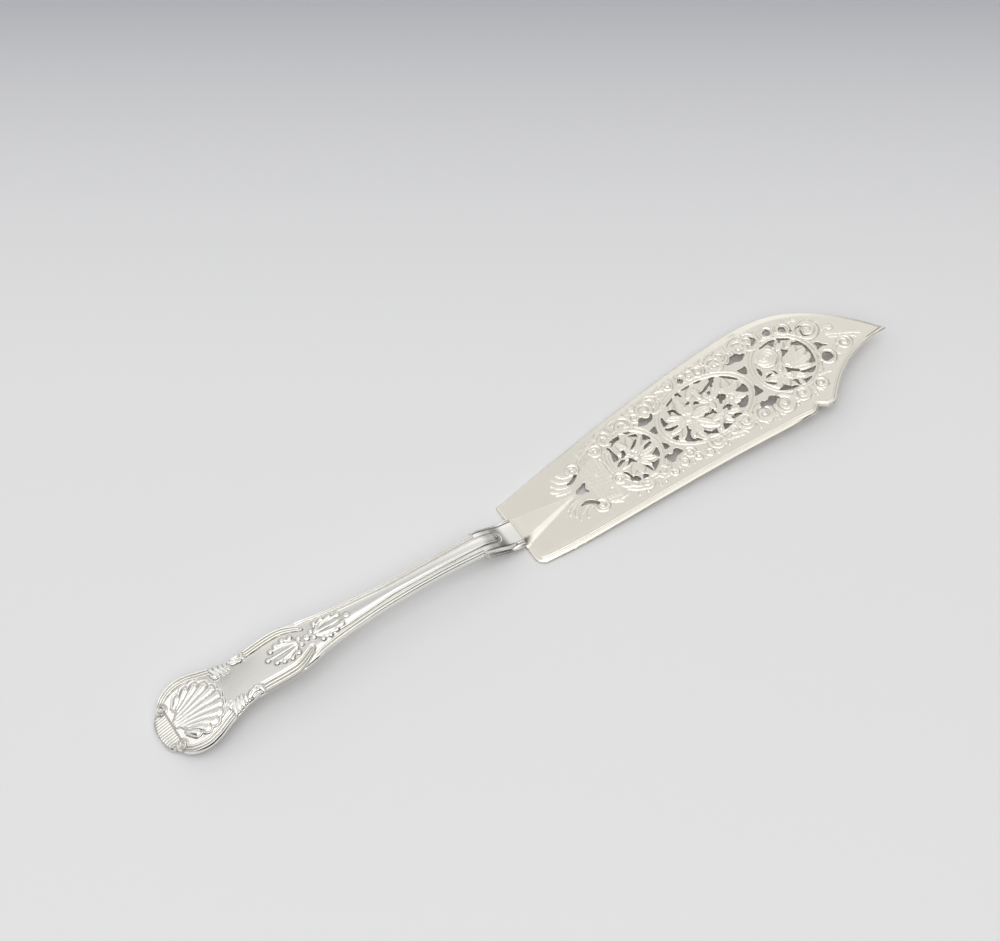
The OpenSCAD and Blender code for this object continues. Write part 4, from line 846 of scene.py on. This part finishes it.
def make_handle():
    """The handle as closed sections along s: across the top, then back along the underside."""
    s = section_places()
    half = half_width(s)
    across = np.sin(np.linspace(-1, 1, TOP_COLUMNS) * math.pi / 2 * CROWDING)
    across = across / math.sin(math.pi / 2 * CROWDING)
    y_top = half[:, None] * across[::-1][None]
    s_top = np.repeat(s[:, None], len(across), 1)
    h_top = np.repeat(half[:, None], len(across), 1)
    relief, recess = handle_relief(s_top, y_top, h_top)
    middle = through(TOP, s)[:, None]
    z_top = middle + handle_crown(s_top, y_top, h_top) + relief
    under = np.sin(np.linspace(-1, 1, LOW_COLUMNS) * math.pi / 2)
    y_low = half[:, None] * under[None]
    thick = through(THICKNESS, s)[:, None]
    z_low = middle - thick * mix(EDGE_SHARE, 1, (1 - np.abs(under)[None] ** 2.6) ** 0.7)
    y = np.concatenate([y_top, y_low], 1)
    z = np.clip(np.concatenate([z_top, z_low], 1) - FOOT, 0, HANDLE_HIGH[2] / MM)
    lean = np.zeros((len(s), 1))
    lean[-1] = math.tan(math.radians(TILT))
    x = np.maximum(s[:, None] - HANDLE_LENGTH + HEEL_X - z * lean, HANDLE_LOW[0] / MM)
    rows, cols = z.shape
    i, j = np.meshgrid(np.arange(rows - 1), np.arange(cols), indexing="ij")
    k = (j + 1) % cols
    quads = np.stack([(i + 1) * cols + j, (i + 1) * cols + k, i * cols + k, i * cols + j], -1).reshape(-1, 4)
    caps = [list(range(cols)), list(range((rows - 1) * cols, rows * cols))[::-1]]
    points = np.stack([x, y + AXIS_Y, z], -1).reshape(-1, 3)
    piece = make_piece("handle_struck", points, quads.tolist() + caps)
    add_values(piece, "recess", np.concatenate([recess, np.zeros_like(z_low)], 1).ravel())
    return piece


# Materials

class Value:
    """A socket with arithmetic: an expression on values adds the Math nodes that work it out."""

    def __init__(self, tree, socket):
        self.tree = tree
        self.socket = socket

    def math(self, operation, *others):
        """Adds one Math node on this value and the others."""
        node = self.tree.nodes.new("ShaderNodeMath")
        node.operation = operation
        for slot, value in zip(node.inputs, (self, *others)):
            if isinstance(value, Value):
                self.tree.links.new(value.socket, slot)
            else:
                slot.default_value = value
        return Value(self.tree, node.outputs[0])

    def __add__(self, other):
        return self.math("ADD", other)

    def __mul__(self, other):
        return self.math("MULTIPLY", other)

    __radd__ = __add__
    __rmul__ = __mul__

    def __sub__(self, other):
        return self.math("SUBTRACT", other)

    def __rsub__(self, other):
        return self.math("MULTIPLY", -1.0).math("ADD", other)


def any_node(tree, kind, settings=None, output=0, **sockets):
    """Adds a node: its settings first, then the values or links of its sockets, which are named with _ for a
    space, or with n and their number."""
    node = tree.nodes.new(kind)
    for name, value in (settings or {}).items():
        setattr(node, name, value)
    for name, value in sockets.items():
        numbered = name[0] == "n" and name[1:].isdigit()
        slot = node.inputs[int(name[1:]) if numbered else name.replace("_", " ")]
        if isinstance(value, Value):
            tree.links.new(value.socket, slot)
        else:
            slot.default_value = value
    return Value(tree, node.outputs[output])


def ramp(tree, value, low, high, start, end, soft=False):
    """A value that goes from start to end while another goes from low to high, and stays there beyond."""
    settings = {"interpolation_type": "SMOOTHSTEP"} if soft else {}
    return any_node(tree, "ShaderNodeMapRange", settings, Value=value, From_Min=low, From_Max=high,
                    To_Min=start, To_Max=end)


def two_colours(tree, share, first, second):
    """The first colour, with a share of the second."""
    return any_node(tree, "ShaderNodeMix", {"data_type": "RGBA"}, output=2, n0=share, n6=(*first, 1.0),
                    n7=(*second, 1.0))


def finish_tree(tree, shader, kind="ShaderNodeOutputMaterial"):
    """Joins a shader to the tree's output."""
    tree.links.new(shader.socket, tree.nodes.new(kind).inputs["Surface"])


def parts_of(tree, vector):
    """The three parts of a vector."""
    node = tree.nodes.new("ShaderNodeSeparateXYZ")
    tree.links.new(vector.socket, node.inputs[0])
    return [Value(tree, out) for out in node.outputs]


def new_material(name):
    """An empty node material, and its tree."""
    material = bpy.data.materials.new(name)
    material.use_nodes = True
    material.node_tree.nodes.clear()
    return material, material.node_tree


def silver(name, look, colour, polish):
    """Old silver: bright and slightly warm, cloudy in its polish, with fine wipe marks, and a grey bloom kept
    in the recesses of the chasing."""
    material, tree = new_material(name)
    place = any_node(tree, "ShaderNodeTexCoord", output=3)
    cloud = any_node(tree, "ShaderNodeTexNoise", Vector=place, Scale=70.0, Detail=4.0, Roughness=0.55)
    fine = any_node(tree, "ShaderNodeTexNoise", Vector=place, Scale=1400.0, Detail=2.0, Roughness=0.6)
    stretched = any_node(tree, "ShaderNodeMapping", Vector=place, Scale=(60.0, 900.0, 900.0),
                         Rotation=(0.0, 0.0, 0.12))
    wiped = any_node(tree, "ShaderNodeTexNoise", Vector=stretched, Scale=1.0, Detail=3.0, Roughness=0.7)
    recess = any_node(tree, "ShaderNodeAttribute", {"attribute_name": "recess"}, output=2)
    bloom = recess.math("MINIMUM", 1.0)
    share = (bloom * look.bloom + (cloud - 0.5) * 0.16).math("MAXIMUM", 0.0)
    tone = two_colours(tree, share, colour, look.bloom_colour)
    rough = polish + (cloud - 0.5) * 0.10 + (wiped - 0.5) * 0.08 + bloom * 0.16
    marks = any_node(tree, "ShaderNodeBump", Height=fine * 0.25 + wiped * 0.5, Strength=0.08, Distance=0.0004)
    shader = any_node(tree, "ShaderNodeBsdfPrincipled", Base_Color=tone, Metallic=1.0,
                      Roughness=rough.math("MAXIMUM", 0.05), Normal=marks)
    finish_tree(tree, shader)
    return material


def floor_paper(look):
    """A seamless pale paper, its colour painted darker, ever faster, away from the camera: painted shade
    where the light falls off over it.
    """
    material, tree = new_material("pale_paper")
    x, y, _ = parts_of(tree, any_node(tree, "ShaderNodeTexCoord", output=3))
    away = x * AWAY[0] + y * AWAY[1]
    # Painted shade: the paper's colour turns towards the far shade colour away from the camera, where the
    # light falls off
    share = ramp(tree, away, -0.03, 0.263, 0.0, 1.0).math("POWER", 3.2)
    colour = two_colours(tree, share, look.floor_colour, look.far_painted_shade)
    shader = any_node(tree, "ShaderNodeBsdfPrincipled", Base_Color=colour, Roughness=0.75)
    finish_tree(tree, shader)
    return material


# Settings a user would change

def colour_of(name, description, default):
    """A colour setting."""
    return bpy.props.FloatVectorProperty(name=name, description=description, subtype="COLOR", size=3,
                                         min=0, max=1, default=default)


def share_of(name, description, default):
    """A setting from 0 to 1."""
    return bpy.props.FloatProperty(name=name, description=description, subtype="FACTOR", min=0, max=1,
                                   default=default)


def power_of(name, description, default):
    """A lamp's power in watts."""
    return bpy.props.FloatProperty(name=name, description=description, unit="POWER", min=0, default=default)


class FishServerLook(bpy.types.PropertyGroup):
    """Finish of the silver, and the stage."""
    blade_colour: colour_of("Blade silver", "Colour of the blade", (0.90, 0.865, 0.775))
    handle_colour: colour_of("Handle silver", "Colour of the handle", (0.91, 0.895, 0.85))
    bloom_colour: colour_of("Bloom", "Colour kept in the recesses", (0.30, 0.28, 0.22))
    bloom: share_of("Bloom share", "How much bloom the recesses keep", 0.75)
    blade_polish: share_of("Blade roughness", "Roughness of the blade", 0.30)
    handle_polish: share_of("Handle roughness", "Roughness of the handle", 0.18)
    floor_colour: colour_of("Paper", "Colour of the paper near the object", (0.83, 0.83, 0.835))
    # The far colour is painted shade: the darker, bluer tone of the paper far behind, where the light falls
    # off
    far_painted_shade: colour_of("Far paper shade", "Colour of the paper far behind", (0.50, 0.506, 0.54))
    key: power_of("Key lamp", "Power of the large lamp", 20.0)
    front: power_of("Front lamp", "Power of the lamp beside the camera", 24.0)


def dress(piece, node, material):
    """Puts a piece in the place of its solid, with its finish."""
    piece.data.materials.append(material)
    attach(piece, "root")
    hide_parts(node)


class FISHSERVER_OT_blade(bpy.types.Operator):
    """Builds the pierced and chased blade over its solid"""
    bl_idname = "fishserver.blade"
    bl_label = "Blade"

    def execute(self, context):
        look = context.scene.fish_server_look
        finish = silver("blade_silver", look, look.blade_colour, look.blade_polish)
        dress(make_blade(), "blade", finish)
        return {"FINISHED"}


class FISHSERVER_OT_handle(bpy.types.Operator):
    """Builds the die-struck handle over its solid"""
    bl_idname = "fishserver.handle"
    bl_label = "Handle"

    def execute(self, context):
        look = context.scene.fish_server_look
        finish = silver("handle_silver", look, look.handle_colour, look.handle_polish)
        dress(make_handle(), "handle", finish)
        return {"FINISHED"}


# The stage, in metres: half the paper's width, and the way away from the camera over it, along which the
# paper's painted shade deepens
PAPER_REACH = 6.0
AWAY = (0.551, 0.834)
# Lamps: name, place, aim, size, the setting with the power, and the share of it
LAMPS = [
    ("key", (-2.5, 1.3, 2.0), (0, 0, 0), 3.0, "key", 1.0),
    ("front", (-0.91, -0.98, 1.96), (0.05, 0, 0), 2.5, "front", 1.0),
    ("side", (0.80, -1.35, 2.1), (0, 0, 0), 1.7, "key", 0.38),
    ("top", (0.1, 0.05, 2.3), (0, 0, 0), 1.1, "key", 0.18),
]
# The camera, fitted to the photograph: place, looking direction, rightward direction, sensor and lens in mm
CAMERA_PLACE = (-0.2054, -0.2870, 0.5717)
CAMERA_FORWARD = (0.3005, 0.4548, -0.8384)
CAMERA_RIGHT = (0.8343, -0.5513, 0.0)
SENSOR = 36.0
LENS = 66.9


def lamp(name, place, aim, size, power):
    """A square soft lamp at a place, turned towards a point."""
    data = bpy.data.lights.new(name, "AREA")
    data.shape = "SQUARE"
    data.size = size
    data.energy = power
    holder = bpy.data.objects.new(name, data)
    holder.location = place
    holder.rotation_euler = (Vector(aim) - Vector(place)).to_track_quat("-Z", "Y").to_euler()
    bpy.context.scene.collection.objects.link(holder)


def bell(x, middle, half):
    """A bell over x, 1 at its middle."""
    q = (x - middle) * (1 / half)
    return (q * q * -1.0).math("EXPONENT")


def studio_world(scene):
    """The room as a soft gradient: brightest above and behind the object, dim behind the camera and near the
    floor, with a bright patch up on the left and one dark card in it, which the handle's waist mirrors."""
    world = bpy.data.worlds.new("studio")
    scene.world = world
    world.use_nodes = True
    tree = world.node_tree
    tree.nodes.clear()
    x, y, z = parts_of(tree, any_node(tree, "ShaderNodeTexCoord", output=0))
    glow = ramp(tree, x * 0.50 + y * 0.50 + z * 0.70, -0.15, 0.95, 0.10, 0.76, soft=True)
    sky = ramp(tree, z + y * 0.6 - x * 0.2, 0.12, 0.66, 0.12, 1.0, soft=True)
    right = ramp(tree, x, 0.22, 0.42, 0.66, 1.12)
    left = bell(x, -0.12, 0.24) * 0.66 + 1.0
    behind = ramp(tree, y, 0.38, 0.80, 0.96, 1.35)
    card = bell(x, -0.135, 0.05) * ramp(tree, y, 0.435, 0.485, 0.0, 1.0, soft=True)
    strength = glow * sky * right * left * behind * (1.0 - card * 0.75)
    room = any_node(tree, "ShaderNodeBackground", Color=(1.0, 1.0, 1.0, 1.0), Strength=strength)
    finish_tree(tree, room, "ShaderNodeOutputWorld")


def photo_camera(scene):
    """The camera, at the photograph's place and angle."""
    data = bpy.data.cameras.new("view")
    data.sensor_width = SENSOR
    data.lens = LENS
    data.clip_start = 0.01
    data.clip_end = 50.0
    camera = bpy.data.objects.new("view", data)
    forward = Vector(CAMERA_FORWARD).normalized()
    right = Vector(CAMERA_RIGHT).normalized()
    turn = Matrix((right, right.cross(forward), -forward)).transposed().to_4x4()
    camera.matrix_world = Matrix.Translation(CAMERA_PLACE) @ turn
    scene.collection.objects.link(camera)
    scene.camera = camera


class FISHSERVER_OT_stage(bpy.types.Operator):
    """Lays the pale paper, and sets the lamps, the world and the camera"""
    bl_idname = "fishserver.stage"
    bl_label = "Stage"

    def execute(self, context):
        look = context.scene.fish_server_look
        reach = PAPER_REACH / MM
        corners = [(-reach, -reach, 0), (reach, -reach, 0), (reach, reach, 0), (-reach, reach, 0)]
        sheet = make_piece("paper", corners, [(0, 1, 2, 3)], smooth=False)
        sheet.data.materials.append(floor_paper(look))
        for name, place, aim, size, source, share in LAMPS:
            lamp(name, place, aim, size, getattr(look, source) * share)
        studio_world(context.scene)
        photo_camera(context.scene)
        context.scene.view_settings.view_transform = "Standard"
        return {"FINISHED"}


class FISHSERVER_PT_panel(bpy.types.Panel):
    """Lists the steps and the settings"""
    bl_idname = "FISHSERVER_PT_panel"
    bl_label = "Fish server"
    bl_space_type = "VIEW_3D"
    bl_region_type = "UI"
    bl_category = "Fish server"

    def draw(self, context):
        look = context.scene.fish_server_look
        for name in look.__annotations__:
            self.layout.prop(look, name)
        for operator in (FISHSERVER_OT_blade, FISHSERVER_OT_handle, FISHSERVER_OT_stage):
            self.layout.operator(operator.bl_idname)


CLASSES = (FishServerLook, FISHSERVER_OT_blade, FISHSERVER_OT_handle, FISHSERVER_OT_stage,
           FISHSERVER_PT_panel)


def register():
    """Adds the add-on's classes and its settings."""
    for cls in CLASSES:
        bpy.utils.register_class(cls)
    bpy.types.Scene.fish_server_look = bpy.props.PointerProperty(type=FishServerLook)


def unregister():
    """Takes them away again."""
    del bpy.types.Scene.fish_server_look
    for cls in reversed(CLASSES):
        bpy.utils.unregister_class(cls)


def main():
    """Builds the server and its stage."""
    register()
    bpy.ops.fishserver.blade()
    bpy.ops.fishserver.handle()
    bpy.ops.fishserver.stage()


if __name__ == "__main__":
    main()
